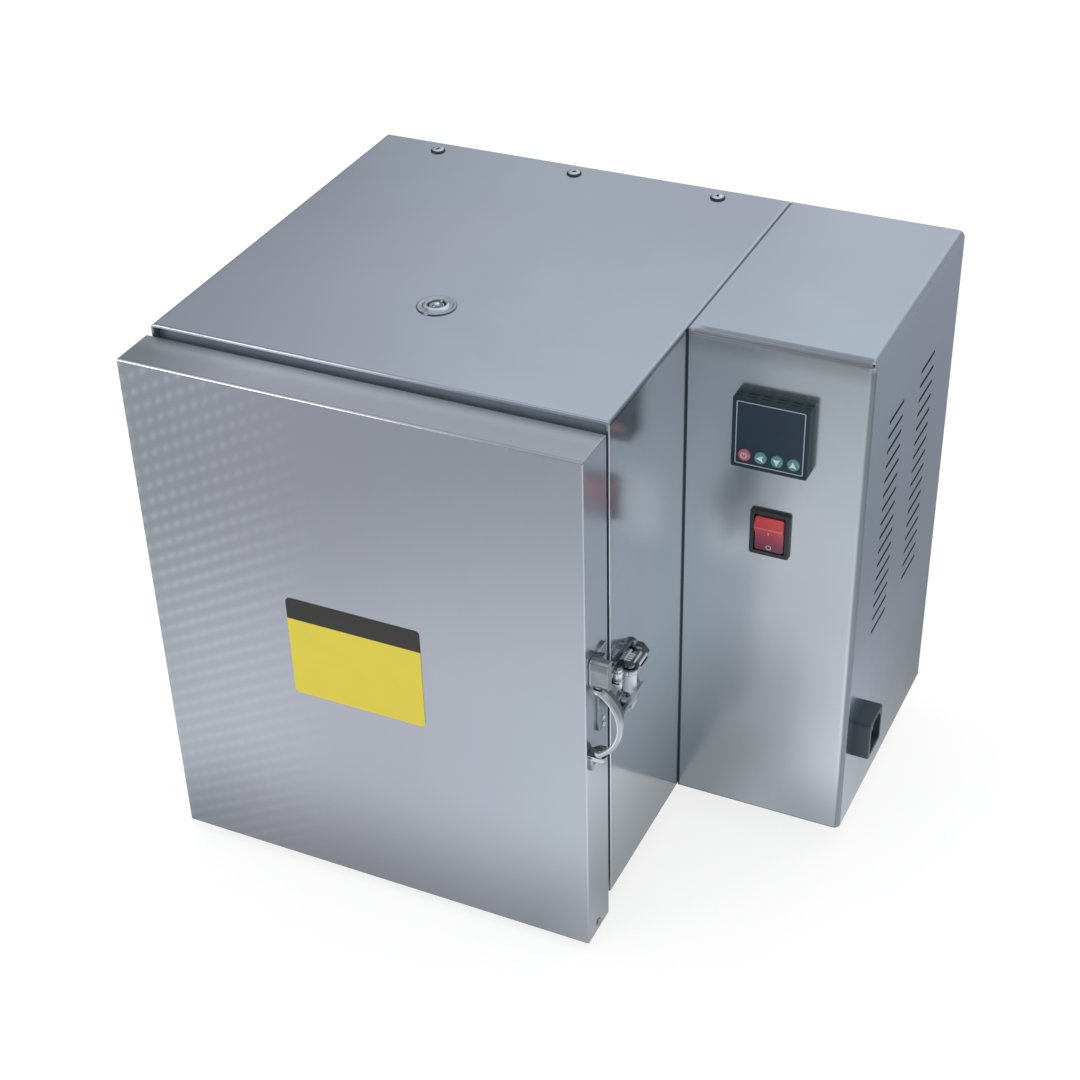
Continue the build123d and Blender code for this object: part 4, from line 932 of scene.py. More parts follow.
def jointPlace(name):
    joint = next(joint for joint in frame["joints"] if joint["name"] == name)
    return Vector(joint["pos_m"]) / mm


def softEdges(piece, width, segments=3, angle=28.0):
    bevel = piece.modifiers.new("edges", "BEVEL")
    bevel.width = width * mm
    bevel.segments = segments
    bevel.limit_method = "ANGLE"
    bevel.angle_limit = math.radians(angle)
    bevel.harden_normals = True


def solidBoxes(node):
    # The lowest and highest corner of each separate solid of a CAD node
    work = bmesh.new()
    work.from_mesh(nodes[node].data)
    bmesh.ops.remove_doubles(work, verts=work.verts, dist=weld)
    left = set(work.verts)
    boxes = []
    while left:
        found = [left.pop()]
        group = list(found)
        while found:
            vertex = found.pop()
            for edge in vertex.link_edges:
                other = edge.other_vert(vertex)
                if other in left:
                    left.remove(other)
                    found.append(other)
                    group.append(other)
        low = [min(vertex.co[axis] for vertex in group) for axis in range(3)]
        high = [max(vertex.co[axis] for vertex in group) for axis in range(3)]
        boxes.append((low, high))
    work.free()
    return sorted(boxes)


# Screws with domed heads and a cross recess

screwLook = {
    "segments": 16,
    "profile": ((1.0, 0.0), (1.0, 0.3), (0.9, 0.62), (0.72, 0.86), (0.55, 0.97)),
    "cross": (0.54, 0.28),
    "crossLevel": 0.98,
    "crossDepth": 0.55,
    "crossTaper": 0.6,
    "shank": 0.45,
    "shankLength": 6.0,
    "seed": 5,
}
screwRows = {
    "top_screws": {"facing": (0, 0, 1), "height": 1.8, "body": "cabinet", "wider": 1.28},
    "door_screws": {"facing": (1, 0, 0), "height": 1.2, "body": "door"},
    "strike_screws": {"facing": (1, 0, 0), "height": 1.8, "body": "cabinet"},
    "plug_screws": {"facing": (0, 1, 0), "height": 1.2, "body": "door"},
    "cabinet_hinge_screws": {"facing": (-1, 0, 0), "height": 1.4, "body": "cabinet"},
    "door_hinge_screws": {"facing": (-1, 0, 0), "height": 1.4, "body": "door"},
}


def screwHead(name, radius, height, shankRadius, shankLength, material):
    # One head on the origin, facing +Z: a lathed dome with a star sunk in it, and a shank below
    count = screwLook["segments"]
    rings = [[(shankRadius, -shankLength)] * count, [(shankRadius, 0.0)] * count]
    for share, level in screwLook["profile"]:
        rings.append([(share * radius, level * height)] * count)
    wide, narrow = screwLook["cross"]
    star = [(wide if index % (count // 4) == 0 else narrow) * radius for index in range(count)]
    rings.append([(reach, screwLook["crossLevel"] * height) for reach in star])
    sunk = height * (1.0 - screwLook["crossDepth"])
    rings.append([(reach * screwLook["crossTaper"], sunk) for reach in star])
    corners = []
    for ring in rings:
        for index, (reach, level) in enumerate(ring):
            turn = math.tau * index / count
            corners.append((reach * math.cos(turn), reach * math.sin(turn), level))
    faces = []
    for ring in range(len(rings) - 1):
        joinRings(faces, ring * count, (ring + 1) * count, count)
    faces.append(tuple(reversed(range(count))))
    faces.append(tuple(range((len(rings) - 1) * count, len(rings) * count)))
    return meshFrom(name, corners, faces, material, smooth=False)


def screwGroup():
    fields = {"Head": "Object", "Facing": "Vector", "Seed": "Int", "Material": "Material"}
    tree, wire, given = startGroup("screwRow", fields)
    head = wire.make("GeometryNodeObjectInfo", None, {"Object": given.output("Head")}).output("Geometry")
    facing = {"Vector": given.output("Facing")}
    aimed = wire.make("FunctionNodeAlignRotationToVector", {"axis": "Z"}, facing)
    chance = wire.make("FunctionNodeRandomValue", {"data_type": "FLOAT"}, {"Seed": given.output("Seed")}, 1)
    turn = wire.make("ShaderNodeCombineXYZ", None, {"Z": chance * math.tau})
    spin = wire.make("FunctionNodeEulerToRotation", None, {"Euler": turn})
    turned = wire.make(
        "FunctionNodeRotateRotation", {"rotation_space": "LOCAL"}, {"Rotation": aimed, "Rotate By": spin}
    )
    values = {"Points": given.output("Points"), "Instance": head, "Rotation": turned}
    closeGroup(wire, given, wire.make("GeometryNodeInstanceOnPoints", None, values))
    return tree


def makeScrews(materials):
    tree = screwGroup()
    for node, values in screwRows.items():
        facing = Vector(values["facing"])
        axis = max(range(3), key=lambda index: abs(facing[index]))
        boxes = solidBoxes(node)
        across = (axis + 1) % 3
        radius = (boxes[0][1][across] - boxes[0][0][across]) / 2 / mm * values.get("wider", 1.0)
        steel = materials["topScrewPaintedShine" if node == "top_screws" else "fastenerSteel"]
        head = showPiece(node + "Head", screwHead(
            node + "Head", radius, values["height"], radius * screwLook["shank"],
            screwLook["shankLength"], steel,
        ))
        points = []
        for low, high in boxes:
            place = [(low[index] + high[index]) / 2 for index in range(3)]
            top = high[axis] if facing[axis] > 0 else low[axis]
            place[axis] = top - facing[axis] * values["height"] * mm
            points.append(place)
        piece = grow(node.replace("_", "") + "Domed", tree, points, {
            "Head": head,
            "Facing": facing,
            "Seed": screwLook["seed"],
            "Material": steel,
        })
        bpy.data.objects.remove(head)
        settle(piece, values["body"], [node])


# Wound heating coils in the grooves of the muffle

coilLook = {"wire": 0.75, "pitch": 3.4, "steps": 14, "sides": 6}


def coilGroup():
    fields = {
        "Length": "Float", "Turns": "Float", "Coil Radius": "Float", "Wire Radius": "Float",
        "Steps": "Int", "Sides": "Int", "Material": "Material",
    }
    tree, wire, given = startGroup("coilRow", fields)
    reach = given.output("Coil Radius")
    values = {
        "Resolution": given.output("Steps"), "Rotations": given.output("Turns"),
        "Start Radius": reach, "End Radius": reach, "Height": given.output("Length"),
    }
    spiral = wire.make("GeometryNodeCurveSpiral", None, values)
    section = wire.make(
        "GeometryNodeCurvePrimitiveCircle", None,
        {"Resolution": given.output("Sides"), "Radius": given.output("Wire Radius")},
    )
    coil = wire.make(
        "GeometryNodeCurveToMesh", None, {"Curve": spiral, "Profile Curve": section, "Fill Caps": True}
    )
    smooth = wire.make("GeometryNodeSetShadeSmooth", None, {0: coil})
    lying = wire.make("FunctionNodeAlignRotationToVector", {"axis": "Z"}, {"Vector": (0.0, 1.0, 0.0)})
    values = {"Points": given.output("Points"), "Instance": smooth, "Rotation": lying}
    closeGroup(wire, given, wire.make("GeometryNodeInstanceOnPoints", None, values))
    return tree


def makeCoils(materials):
    boxes = solidBoxes("heating_elements")
    radius = (boxes[0][1][0] - boxes[0][0][0]) / 2
    length = boxes[0][1][1] - boxes[0][0][1] - 2 * coilLook["wire"] * mm
    points = [
        ((low[0] + high[0]) / 2, low[1] + coilLook["wire"] * mm, (low[2] + high[2]) / 2)
        for low, high in boxes
    ]
    piece = grow("heatingCoils", coilGroup(), points, {
        "Length": length,
        "Turns": length / (coilLook["pitch"] * mm),
        "Coil Radius": radius - coilLook["wire"] * mm,
        "Wire Radius": coilLook["wire"] * mm,
        "Steps": coilLook["steps"],
        "Sides": coilLook["sides"],
        "Material": materials["heatingAlloy"],
    })
    settle(piece, "cabinet", ["heating_elements"])


# Printed line and marks on the controller, and the rocker with its marks

def flatMark(loops, place, across, upward, raised):
    # Corners and faces of a thin plate on a surface: one outline, or an outline and the hole in it
    across = Vector(across).normalized()
    upward = Vector(upward).normalized()
    outward = across.cross(upward)
    count = len(loops[0])
    corners = []
    for height in (0.0, raised):
        for loop in loops:
            for x, z in loop:
                corners.append(Vector(place) + across * x + upward * z + outward * height)
    layer = count * len(loops)
    faces = []
    for index in range(count):
        after = (index + 1) % count
        faces.append((index, after, layer + after, layer + index))
        if len(loops) == 2:
            inner = count
            faces.append((inner + index, inner + after, layer + inner + after, layer + inner + index))
            faces.append((index, after, inner + after, inner + index))
            faces.append((layer + index, layer + after, layer + inner + after, layer + inner + index))
    if len(loops) == 1:
        faces.append(tuple(range(count)))
        faces.append(tuple(range(layer, 2 * layer)))
    return corners, faces


def roundLoop(radius, count=32, centre=(0.0, 0.0)):
    return [
        (centre[0] + radius * math.cos(math.tau * index / count),
         centre[1] + radius * math.sin(math.tau * index / count))
        for index in range(count)
    ]


def squareLoop(half, corner, steps=4):
    # A square with rounded corners
    loop = []
    for quarter in range(4):
        turn = math.tau * quarter / 4
        centre = (half - corner) * math.sqrt(2)
        middle = turn + math.tau / 8
        for step in range(steps + 1):
            angle = turn + math.tau / 4 * step / steps
            loop.append((
                centre * math.cos(middle) + corner * math.cos(angle),
                centre * math.sin(middle) + corner * math.sin(angle),
            ))
    return loop


def addMark(name, shape, material, body):
    corners, faces = shape
    piece = showPiece(name, meshFrom(name, corners, faces, material, smooth=False))
    settle(piece, body)


panelPrint = {
    "lineInset": 0.3,
    "lineWidth": 0.62,
    "lineCorner": 1.0,
    "raised": 0.06,
    "arrow": 2.55,
    "arrowWide": 0.9,
    "arrowLow": 0.75,
    "notch": 0.7,
    "ring": (2.2, 1.45),
    "ringGap": 0.3,
    "ringSteps": 24,
    "tick": (0.32, 1.5),
    "tickFoot": 0.2,
}


def frontMiddle(low, high):
    return (low[0] + high[0]) / 2, low[1], (low[2] + high[2]) / 2


def makePanelPrint(materials):
    # A thin line round the face, three arrows, and a ring with a tick
    raised = panelPrint["raised"]
    across = (1, 0, 0)
    upward = (0, 0, 1)
    low, high = inMm(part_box("controller_face"))
    half = (high[0] - low[0]) / 2 - panelPrint["lineInset"]
    loops = [
        squareLoop(half, panelPrint["lineCorner"]),
        squareLoop(half - panelPrint["lineWidth"], panelPrint["lineCorner"] / 2),
    ]
    addMark(
        "panelLine", flatMark(loops, frontMiddle(low, high), across, upward, raised),
        materials["paleLine"], "cabinet",
    )
    reach = panelPrint["arrow"]
    side, foot = reach * panelPrint["arrowWide"], -reach * panelPrint["arrowLow"]
    arrow = [(0.0, reach), (-side, foot), (0.0, foot + panelPrint["notch"]), (side, foot)]
    turns = {"key_shift": math.tau / 4, "key_down": math.tau / 2, "key_up": 0.0}
    for node, turn in turns.items():
        place = frontMiddle(*inMm(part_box(node)))
        loop = [
            (x * math.cos(turn) - z * math.sin(turn), x * math.sin(turn) + z * math.cos(turn))
            for x, z in arrow
        ]
        addMark(
            node.replace("key_", "arrow_"), flatMark([loop], place, across, upward, raised),
            materials["mintMark"], node,
        )
    place = frontMiddle(*inMm(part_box("key_set")))
    outer, inner = panelPrint["ring"]
    gap = panelPrint["ringGap"]
    count = panelPrint["ringSteps"]
    loop = []
    for radius, order in ((outer, range(count + 1)), (inner, range(count, -1, -1))):
        for index in order:
            angle = math.tau / 4 + gap + (math.tau - 2 * gap) * index / count
            loop.append((radius * math.cos(angle), radius * math.sin(angle)))
    halfTick, tall = panelPrint["tick"]
    foot = panelPrint["tickFoot"]
    tick = [(-halfTick, foot), (halfTick, foot), (halfTick, foot + tall), (-halfTick, foot + tall)]
    corners, faces = flatMark([loop], place, across, upward, raised)
    more, others = flatMark([tick], place, across, upward, raised)
    faces = faces + [tuple(index + len(corners) for index in face) for face in others]
    addMark("set_mark", (corners + more, faces), materials["roseMark"], "key_set")


rockerLook = {
    "width": 18.8,
    "edge": 1.6,
    "edgeStep": 0.3,
    "rounding": 0.35,
    "section": (
        (-2.0, 11.6), (-4.6, 11.9), (-6.9, 9.6), (-8.2, 6.2), (-8.1, 5.2), (-5.3, -0.7), (-4.55, -12.3),
        (-3.4, -12.8), (3.0, -9.0), (6.0, 0.0), (2.0, 9.0),
    ),
    "front": 4,
    "crease": 5,
    "foot": 6,
    "marks": {"ring": (1.75, 1.25), "ringAt": 0.76, "bar": (0.3, 1.25), "barAt": 0.62},
    "raised": 0.06,
}


def makeRocker(materials):
    # The rocker's section from side to side, with both side edges drawn in by two steps
    pivot = jointPlace("power_rocker")
    half = rockerLook["width"] / 2
    edge = rockerLook["edge"]
    step = edge * rockerLook["edgeStep"]
    slices = ((-half, edge), (-half + step, step), (-half + edge, 0.0))
    slices = slices + tuple((-x, drawn) for x, drawn in reversed(slices))
    section = rockerLook["section"]
    count = len(section)
    centre = Vector((0.0, sum(y for y, z in section) / count, sum(z for y, z in section) / count))
    corners = []
    for x, drawn in slices:
        for y, z in section:
            inward = Vector((0.0, centre.y - y, centre.z - z)).normalized() * drawn
            corners.append(pivot + Vector((x, y, z)) + inward)
    faces = []
    for layer in range(len(slices) - 1):
        joinRings(faces, layer * count, (layer + 1) * count, count)
    faces.append(tuple(range(count)))
    faces.append(tuple(range((len(slices) - 1) * count, len(slices) * count)))
    piece = showPiece("rocker", meshFrom("rocker", corners, faces, materials["clearRed"]))
    softEdges(piece, rockerLook["rounding"], 3, 25.0)
    settle(piece, "switch_rocker", ["switch_rocker"])
    marks = rockerLook["marks"]
    front, crease, foot = (Vector((0, *section[rockerLook[part]])) for part in ("front", "crease", "foot"))
    place = pivot + foot + (crease - foot) * (1.0 - marks["ringAt"])
    loops = [roundLoop(radius) for radius in marks["ring"]]
    addMark(
        "rockerRing", flatMark(loops, place, (1, 0, 0), crease - foot, rockerLook["raised"]),
        materials["whiteMark"], "switch_rocker",
    )
    place = pivot + front + (crease - front) * marks["barAt"]
    wide, tall = marks["bar"]
    loop = [(-wide, -tall), (wide, -tall), (wide, tall), (-wide, tall)]
    addMark(
        "rockerBar", flatMark([loop], place, (1, 0, 0), front - crease, rockerLook["raised"]),
        materials["whiteMark"], "switch_rocker",
    )


# Latch: housing, bowed handle with its hook, barrel, and the strike with its two ribbed lugs

def slab(corners, faces, outline, axis, low, high):
    # A prism added to these corners and faces: an outline in the other two axes, from low to high
    others = [index for index in range(3) if index != axis]
    start = len(corners)
    for level in (low, high):
        for first, second in outline:
            corner = [0.0, 0.0, 0.0]
            corner[axis] = level
            corner[others[0]] = first
            corner[others[1]] = second
            corners.append(corner)
    count = len(outline)
    faces.append([start + index for index in range(count)])
    faces.append([start + count + index for index in range(count)])
    joinRings(faces, start, start + count, count)


def swept(corners, faces, sections):
    # Sections with the same number of corners, joined one to the next, with both ends closed
    start = len(corners)
    count = len(sections[0])
    for section in sections:
        corners.extend(section)
    for ring in range(len(sections) - 1):
        joinRings(faces, start + ring * count, start + (ring + 1) * count, count)
    faces.append([start + index for index in range(count)])
    last = start + (len(sections) - 1) * count
    faces.append([last + index for index in range(count)])


def levelRing(centre, radius, level, segments):
    return [(x, y, level) for x, y in roundLoop(radius, segments, centre)]


def lathed(corners, faces, centre, profile, segments=24):
    # A turned shape on an upright axis: radius and level pairs, from its lower end to its upper one
    swept(corners, faces, [levelRing(centre, radius, level, segments) for radius, level in profile])


def arcPoints(centre, radius, first, last, steps):
    points = []
    for step in range(steps + 1):
        turn = math.radians(first + (last - first) * step / steps)
        points.append((centre[0] + radius * math.cos(turn), centre[1] + radius * math.sin(turn)))
    return points


def roundedOutline(low, high, corner, steps=4):
    spots = (
        ((high[0] - corner, high[1] - corner), 0), ((low[0] + corner, high[1] - corner), 90),
        ((low[0] + corner, low[1] + corner), 180), ((high[0] - corner, low[1] + corner), 270),
    )
    outline = []
    for centre, first in spots:
        outline += arcPoints(centre, corner, first, first + 90, steps)
    return outline


latchLook = {
    "headProfile": (
        (-156.5, 234.6), (-160.6, 234.6), (-162.4, 233.4), (-163.2, 229.4), (-162.5, 228.6),
        (-162.6, 222.0), (-162.9, 218.4), (-161.6, 215.5), (-159.6, 215.2), (-156.5, 215.2),
    ),
    "headSides": (93.2, 105.0),
    "boss": {"radius": 3.9, "foot": ((-0.4, 0.1), (0.0, 0.5)), "crown": ((0.0, -1.2), (-0.8, -0.4))},
    "plateLow": 173.4,
    "plateThick": 1.8,
    "plateCorner": 2.2,
    "neck": {"front": 3.4, "inset": 1.5, "lap": 3.0, "corner": 1.2},
    "edge": 0.55,
    "tail": (-151.8, -139.3),
    "barrel": (
        (1.6, 200.6), (2.6, 201.6), (2.9, 204.0), (2.9, 207.2), (3.6, 207.6), (3.6, 208.6), (2.9, 209.0),
        (2.9, 212.8), (3.6, 213.2), (3.6, 214.2), (2.9, 214.6), (2.7, 216.2), (1.7, 217.4),
    ),
    "barrelIn": 4.5,
    "barrelEdge": 0.3,
    "stem": {"half": 1.3, "end": 1.4, "corner": 0.9, "gap": 0.1},
    "tongue": (
        (97.4, 206.5), (97.2, 202.6), (99.2, 198.4), (100.8, 196.2), (102.3, 199.4), (103.9, 206.5),
    ),
    "tongueSides": (-3.4, -1.6),
}
handleLook = {
    "bowStart": 0.9,
    "bowOut": 14.5,
    "thick": 3.0,
    "barFront": -163.0,
    "barWidth": (4.4, 4.9),
    "footWidth": 3.3,
    "webBack": -153.9,
    "webEnd": 0.46,
    "webSunk": 0.7,
    "webGap": 0.05,
    "webCurve": 2.4,
    "steps": 44,
    "round": 0.9,
    "roundStep": 0.3,
    "edge": 0.35,
    "eye": {"radius": 4.4, "out": 1.6, "gap": 0.02},
    "hookPath": (
        (112.6, -160.4), (110.2, -155.6), (107.05, -149.0), (107.05, -115.0), (103.6, -115.0),
        (101.4, -115.0),
    ),
    "hookLevels": (187.6, 190.3),
    "hookHalf": 1.0,
    "hookTip": 198.2,
    "hookMitre": 0.5,
}
strikeLook = {
    "plateThick": 1.8,
    "corner": 2.0,
    "edge": 0.35,
    "ear": {"reach": 3.5, "gap": 2.0, "lap": 3.0},
    "lug": 5.4,
    "upper": {
        "levels": (200.2, 203.9), "back": -94.8, "out": 106.5, "cut": (7.0, 6.2), "past": 2.0,
        "rimFront": 4.0, "rimMiddle": 4.6,
    },
    "lower": {
        "levels": (176.6, 180.6), "front": -130.9, "back": -117.0, "out": 105.6, "rimIn": 0.6,
        "rimEnds": (1.2, 0.8),
    },
    "bearing": {"levels": (184.6, 186.9), "radius": 3.4, "post": 2.3, "lap": 0.2},
    "rivet": {
        "place": (98.6, -101.6),
        "profile": ((2.9, 203.6), (2.9, 204.3), (2.5, 205.0), (1.5, 205.5), (0.5, 205.65)),
    },
    "rim": {"width": 1.0, "height": 0.9, "back": -105.2, "corner": 0.5, "sunk": 1.0},
    "ribs": {
        "count": 4, "pitch": 2.3, "width": 1.0, "long": 3.2, "corner": 0.3, "gap": 0.1, "lower": 0.1,
        "upperLeft": 96.8, "lowerLeft": 98.2, "lowerFront": -126.4, "edge": 0.25,
    },
}


def makeLatchBase(material):
    # The housing's front is one bent profile drawn sideways; a boss behind it holds the handle's upper pin
    pivot = jointPlace("handle_pivot")
    low, high = inMm(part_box("latch_base"))
    corners, faces = [], []
    profile = latchLook["headProfile"]
    slab(corners, faces, profile, 0, *latchLook["headSides"])
    crown, foot = profile[0][1], profile[-1][1]
    boss = latchLook["boss"]
    turned = [(boss["radius"] + out, foot + up) for out, up in boss["foot"]]
    turned += [(boss["radius"] + out, crown + up) for out, up in boss["crown"]]
    lathed(corners, faces, pivot, turned)
    front, back = latchLook["tail"]
    outline = roundedOutline((front, latchLook["plateLow"]), (back, high[2]), latchLook["plateCorner"])
    slab(corners, faces, outline, 0, low[0], low[0] + latchLook["plateThick"])
    neck = latchLook["neck"]
    outline = roundedOutline(
        (pivot[1] - neck["front"], foot + neck["inset"]), (front + neck["lap"], crown - neck["inset"]),
        neck["corner"],
    )
    slab(corners, faces, outline, 0, low[0], pivot[0])
    piece = showPiece("latchHousing", meshFrom("latchHousing", corners, faces, material))
    softEdges(piece, latchLook["edge"])
    settle(piece, "door", ["latch_base"])


def makeLatchBarrel(material):
    low, high = inMm(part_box("latch_barrel"))
    centre = (high[0] - latchLook["barrelIn"], (low[1] + high[1]) / 2)
    corners, faces = [], []
    lathed(corners, faces, centre, latchLook["barrel"])
    stem = latchLook["stem"]
    outline = roundedOutline(
        (centre[1] - stem["half"], low[2] + stem["end"]), (centre[1] + stem["half"], high[2] - stem["end"]),
        stem["corner"],
    )
    slab(corners, faces, outline, 0, low[0] + latchLook["plateThick"] + stem["gap"], centre[0])
    first, last = latchLook["tongueSides"]
    slab(corners, faces, latchLook["tongue"], 1, centre[1] + first, centre[1] + last)
    piece = showPiece("latchKnuckle", meshFrom("latchKnuckle", corners, faces, material))
    softEdges(piece, latchLook["barrelEdge"])
    settle(piece, "door", ["latch_barrel"])


def bowArc():
    # The bow's arc: its centre, its outer radius and half its angle
    low, high = inMm(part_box("latch_handle"))
    half = (high[2] - low[2]) / 2
    out = handleLook["bowOut"]
    radius = (half ** 2 + out ** 2) / (2 * out)
    centreX = jointPlace("handle_pivot")[0] + handleLook["bowStart"] + out - radius
    return centreX, (high[2] + low[2]) / 2, radius, math.degrees(math.asin(half / radius))


def bowSection(share, place, outward):
    # The bow's section at a share of its length: a rounded bar, and behind it a thinner web that runs out
    thick = handleLook["thick"]
    soft = handleLook["round"]
    less = soft * handleLook["roundStep"]
    front = handleLook["barFront"]
    narrow, wide = handleLook["barWidth"]
    drawn = max(0.0, share * 2.0 - 1.0) * (narrow - handleLook["footWidth"])
    bar = front + narrow + (wide - narrow) * math.sin(math.pi * share) - drawn
    run = min(1.0, max(0.0, share / handleLook["webEnd"]))
    curve = math.sqrt(max(0.0, 1.0 - run ** handleLook["webCurve"]))
    back = bar + handleLook["webGap"] + (handleLook["webBack"] - bar) * curve
    sunk = handleLook["webSunk"]
    points = [
        (front + soft, 0.0), (front + less, -less), (front, -soft),
        (front, soft - thick), (front + less, less - thick), (front + soft, -thick),
        (bar - less, -thick), (bar, -thick + sunk), (back, -thick + sunk),
        (back, -sunk), (bar, -sunk), (bar - less, 0.0),
    ]
    return [(place[0] + outward[0] * n, y, place[1] + outward[1] * n) for y, n in points]


def makeHandle(material):
    pivot = jointPlace("handle_pivot")
    low, high = inMm(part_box("latch_handle"))
    centreX, middle, radius, reach = bowArc()
    steps = handleLook["steps"]
    sections = []
    for step in range(steps + 1):
        share = step / steps
        turn = math.radians(reach - 2 * reach * share)
        outward = (math.cos(turn), math.sin(turn))
        place = (centreX + radius * outward[0], middle + radius * outward[1])
        sections.append(bowSection(share, place, outward))
    corners, faces = [], []
    swept(corners, faces, sections)
    eye = handleLook["eye"]
    thick = handleLook["thick"]
    eyeEnd = pivot[0] + handleLook["bowStart"] + eye["out"]
    outline = arcPoints((pivot[0], pivot[1]), eye["radius"], 90, 270, 10)
    outline += [(eyeEnd, pivot[1] - eye["radius"]), (eyeEnd, pivot[1] + eye["radius"])]
    slab(corners, faces, outline, 2, high[2] - thick, high[2] - eye["gap"])
    slab(corners, faces, outline, 2, low[2] + eye["gap"], low[2] + thick)
    swept(corners, faces, hookSections())
    piece = showPiece("latchBow", meshFrom("latchBow", corners, faces, material))
    softEdges(piece, handleLook["edge"], 2, 35.0)
    settle(piece, "latch_handle", ["latch_handle"])


def hookSections():
    # The hook's arm: upright sections along its path, taller at the tip
    path = handleLook["hookPath"]
    halfWidth = handleLook["hookHalf"]
    lowLevel, highLevel = handleLook["hookLevels"]
    sections = []
    for index, spot in enumerate(path):
        here = Vector(spot)
        before = Vector(path[max(index - 1, 0)])
        after = Vector(path[min(index + 1, len(path) - 1)])
        along = [(here - before).normalized(), (after - here).normalized()]
        run = (along[0] + along[1]).normalized()
        side = Vector((-run[1], run[0]))
        stretch = 1.0
        if along[0].length and along[1].length:
            stretch = 1.0 / max(handleLook["hookMitre"], run.dot(along[1]))
        tall = highLevel if index < len(path) - 2 else handleLook["hookTip"]
        inner = here - side * halfWidth * stretch
        outer = here + side * halfWidth * stretch
        sections.append([(*inner, lowLevel), (*outer, lowLevel), (*outer, tall), (*inner, tall)])
    return sections


def addRibs(corners, faces, left, front, low, high):
    # The short ribs between a lug's rims
    ribs = strikeLook["ribs"]
    for index in range(ribs["count"]):
        start = front + index * ribs["pitch"]
        end = (left + ribs["long"], start + ribs["width"])
        slab(corners, faces, roundedOutline((left, start), end, ribs["corner"]), 2, low, high)


def makeStrike(material, bright):
    # A plate with two ears for its screws, the upper and lower lug, and the bearing of the roller
    low = inMm(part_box("strike_plate"))[0]
    axle = [(a + b) / 2 for a, b in zip(*inMm(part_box("strike_roller")))]
    face = low[0]
    plateOut = face + strikeLook["plateThick"]
    corners, faces = [], []
    screws = solidBoxes("strike_screws")
    ears = [(first[2] + last[2]) / 2 / mm for first, last in screws]
    earY = (screws[0][0][1] + screws[0][1][1]) / 2 / mm
    ear = strikeLook["ear"]
    reach = ear["reach"]
    outline = roundedOutline(
        (low[1], min(ears) - reach), (earY - reach - ear["gap"], max(ears) + reach), strikeLook["corner"]
    )
    slab(corners, faces, outline, 0, face, plateOut)
    for level in ears:
        outline = arcPoints((earY, level), reach, 90, -90, 12)
        outline += [(earY - reach - ear["lap"], level - reach), (earY - reach - ear["lap"], level + reach)]
        slab(corners, faces, outline, 0, face, plateOut)
    upper = strikeLook["upper"]
    lug = strikeLook["lug"]
    base, crown = upper["levels"]
    cutX, cutY = upper["cut"]
    outline = [(face, axle[1] - lug)] + arcPoints((axle[0], axle[1]), lug, -90, 0, 8)
    outline += [(upper["out"], axle[1] + upper["past"]), (upper["out"], upper["back"] - cutY)]
    outline += [(upper["out"] - cutX, upper["back"]), (face, upper["back"])]
    slab(corners, faces, outline, 2, base, crown)
    raised, raisedFaces = [], []
    rim = strikeLook["rim"]
    ribs = strikeLook["ribs"]
    sunk, rise = base + rim["sunk"], crown + rim["height"]
    frontY = axle[1] + upper["rimFront"]
    for left in (plateOut, upper["out"] - upper["rimMiddle"], upper["out"] - rim["width"]):
        outline = roundedOutline((left, frontY), (left + rim["width"], rim["back"]), rim["corner"])
        slab(raised, raisedFaces, outline, 2, sunk, rise)
    addRibs(raised, raisedFaces, ribs["upperLeft"], frontY + ribs["gap"], sunk, rise - ribs["lower"])
    bearing = strikeLook["bearing"]
    reach = bearing["radius"]
    outline = [(face, axle[1] - reach)] + arcPoints((axle[0], axle[1]), reach, -90, 90, 16)
    outline += [(face, axle[1] + reach)]
    slab(corners, faces, outline, 2, *bearing["levels"])
    lower = strikeLook["lower"]
    base, crown = lower["levels"]
    sunk, rise = base + rim["sunk"], crown + rim["height"]
    outline = roundedOutline((face, lower["front"]), (lower["out"], lower["back"]), strikeLook["corner"])
    slab(corners, faces, outline, 2, base, crown)
    rivet = strikeLook["rivet"]
    lathed(corners, faces, rivet["place"], rivet["profile"])
    before, after = lower["rimEnds"]
    for left in (plateOut, lower["out"] - rim["width"] - lower["rimIn"]):
        end = (left + rim["width"], lower["back"] - after)
        outline = roundedOutline((left, lower["front"] + before), end, rim["corner"])
        slab(raised, raisedFaces, outline, 2, sunk, rise)
    addRibs(raised, raisedFaces, ribs["lowerLeft"], ribs["lowerFront"], sunk, rise - ribs["lower"])
    post = bearing["post"]
    postTop = bearing["levels"][0] + bearing["lap"]
    lathed(corners, faces, axle, ((post, crown - bearing["lap"]), (post, postTop)))
    piece = showPiece("strikeLugs", meshFrom("strikeLugs", corners, faces, material))
    softEdges(piece, strikeLook["edge"], 2)
    settle(piece, "cabinet", ["strike_plate"])
    # The ribs take the near white of a painted highlight
    piece = showPiece("strikeRibs", meshFrom("strikeRibs", raised, raisedFaces, bright))
    softEdges(piece, ribs["edge"], 2)
    settle(piece, "cabinet")


# Vent: a dished flange round a raised ring, and the lid that lifts out of it

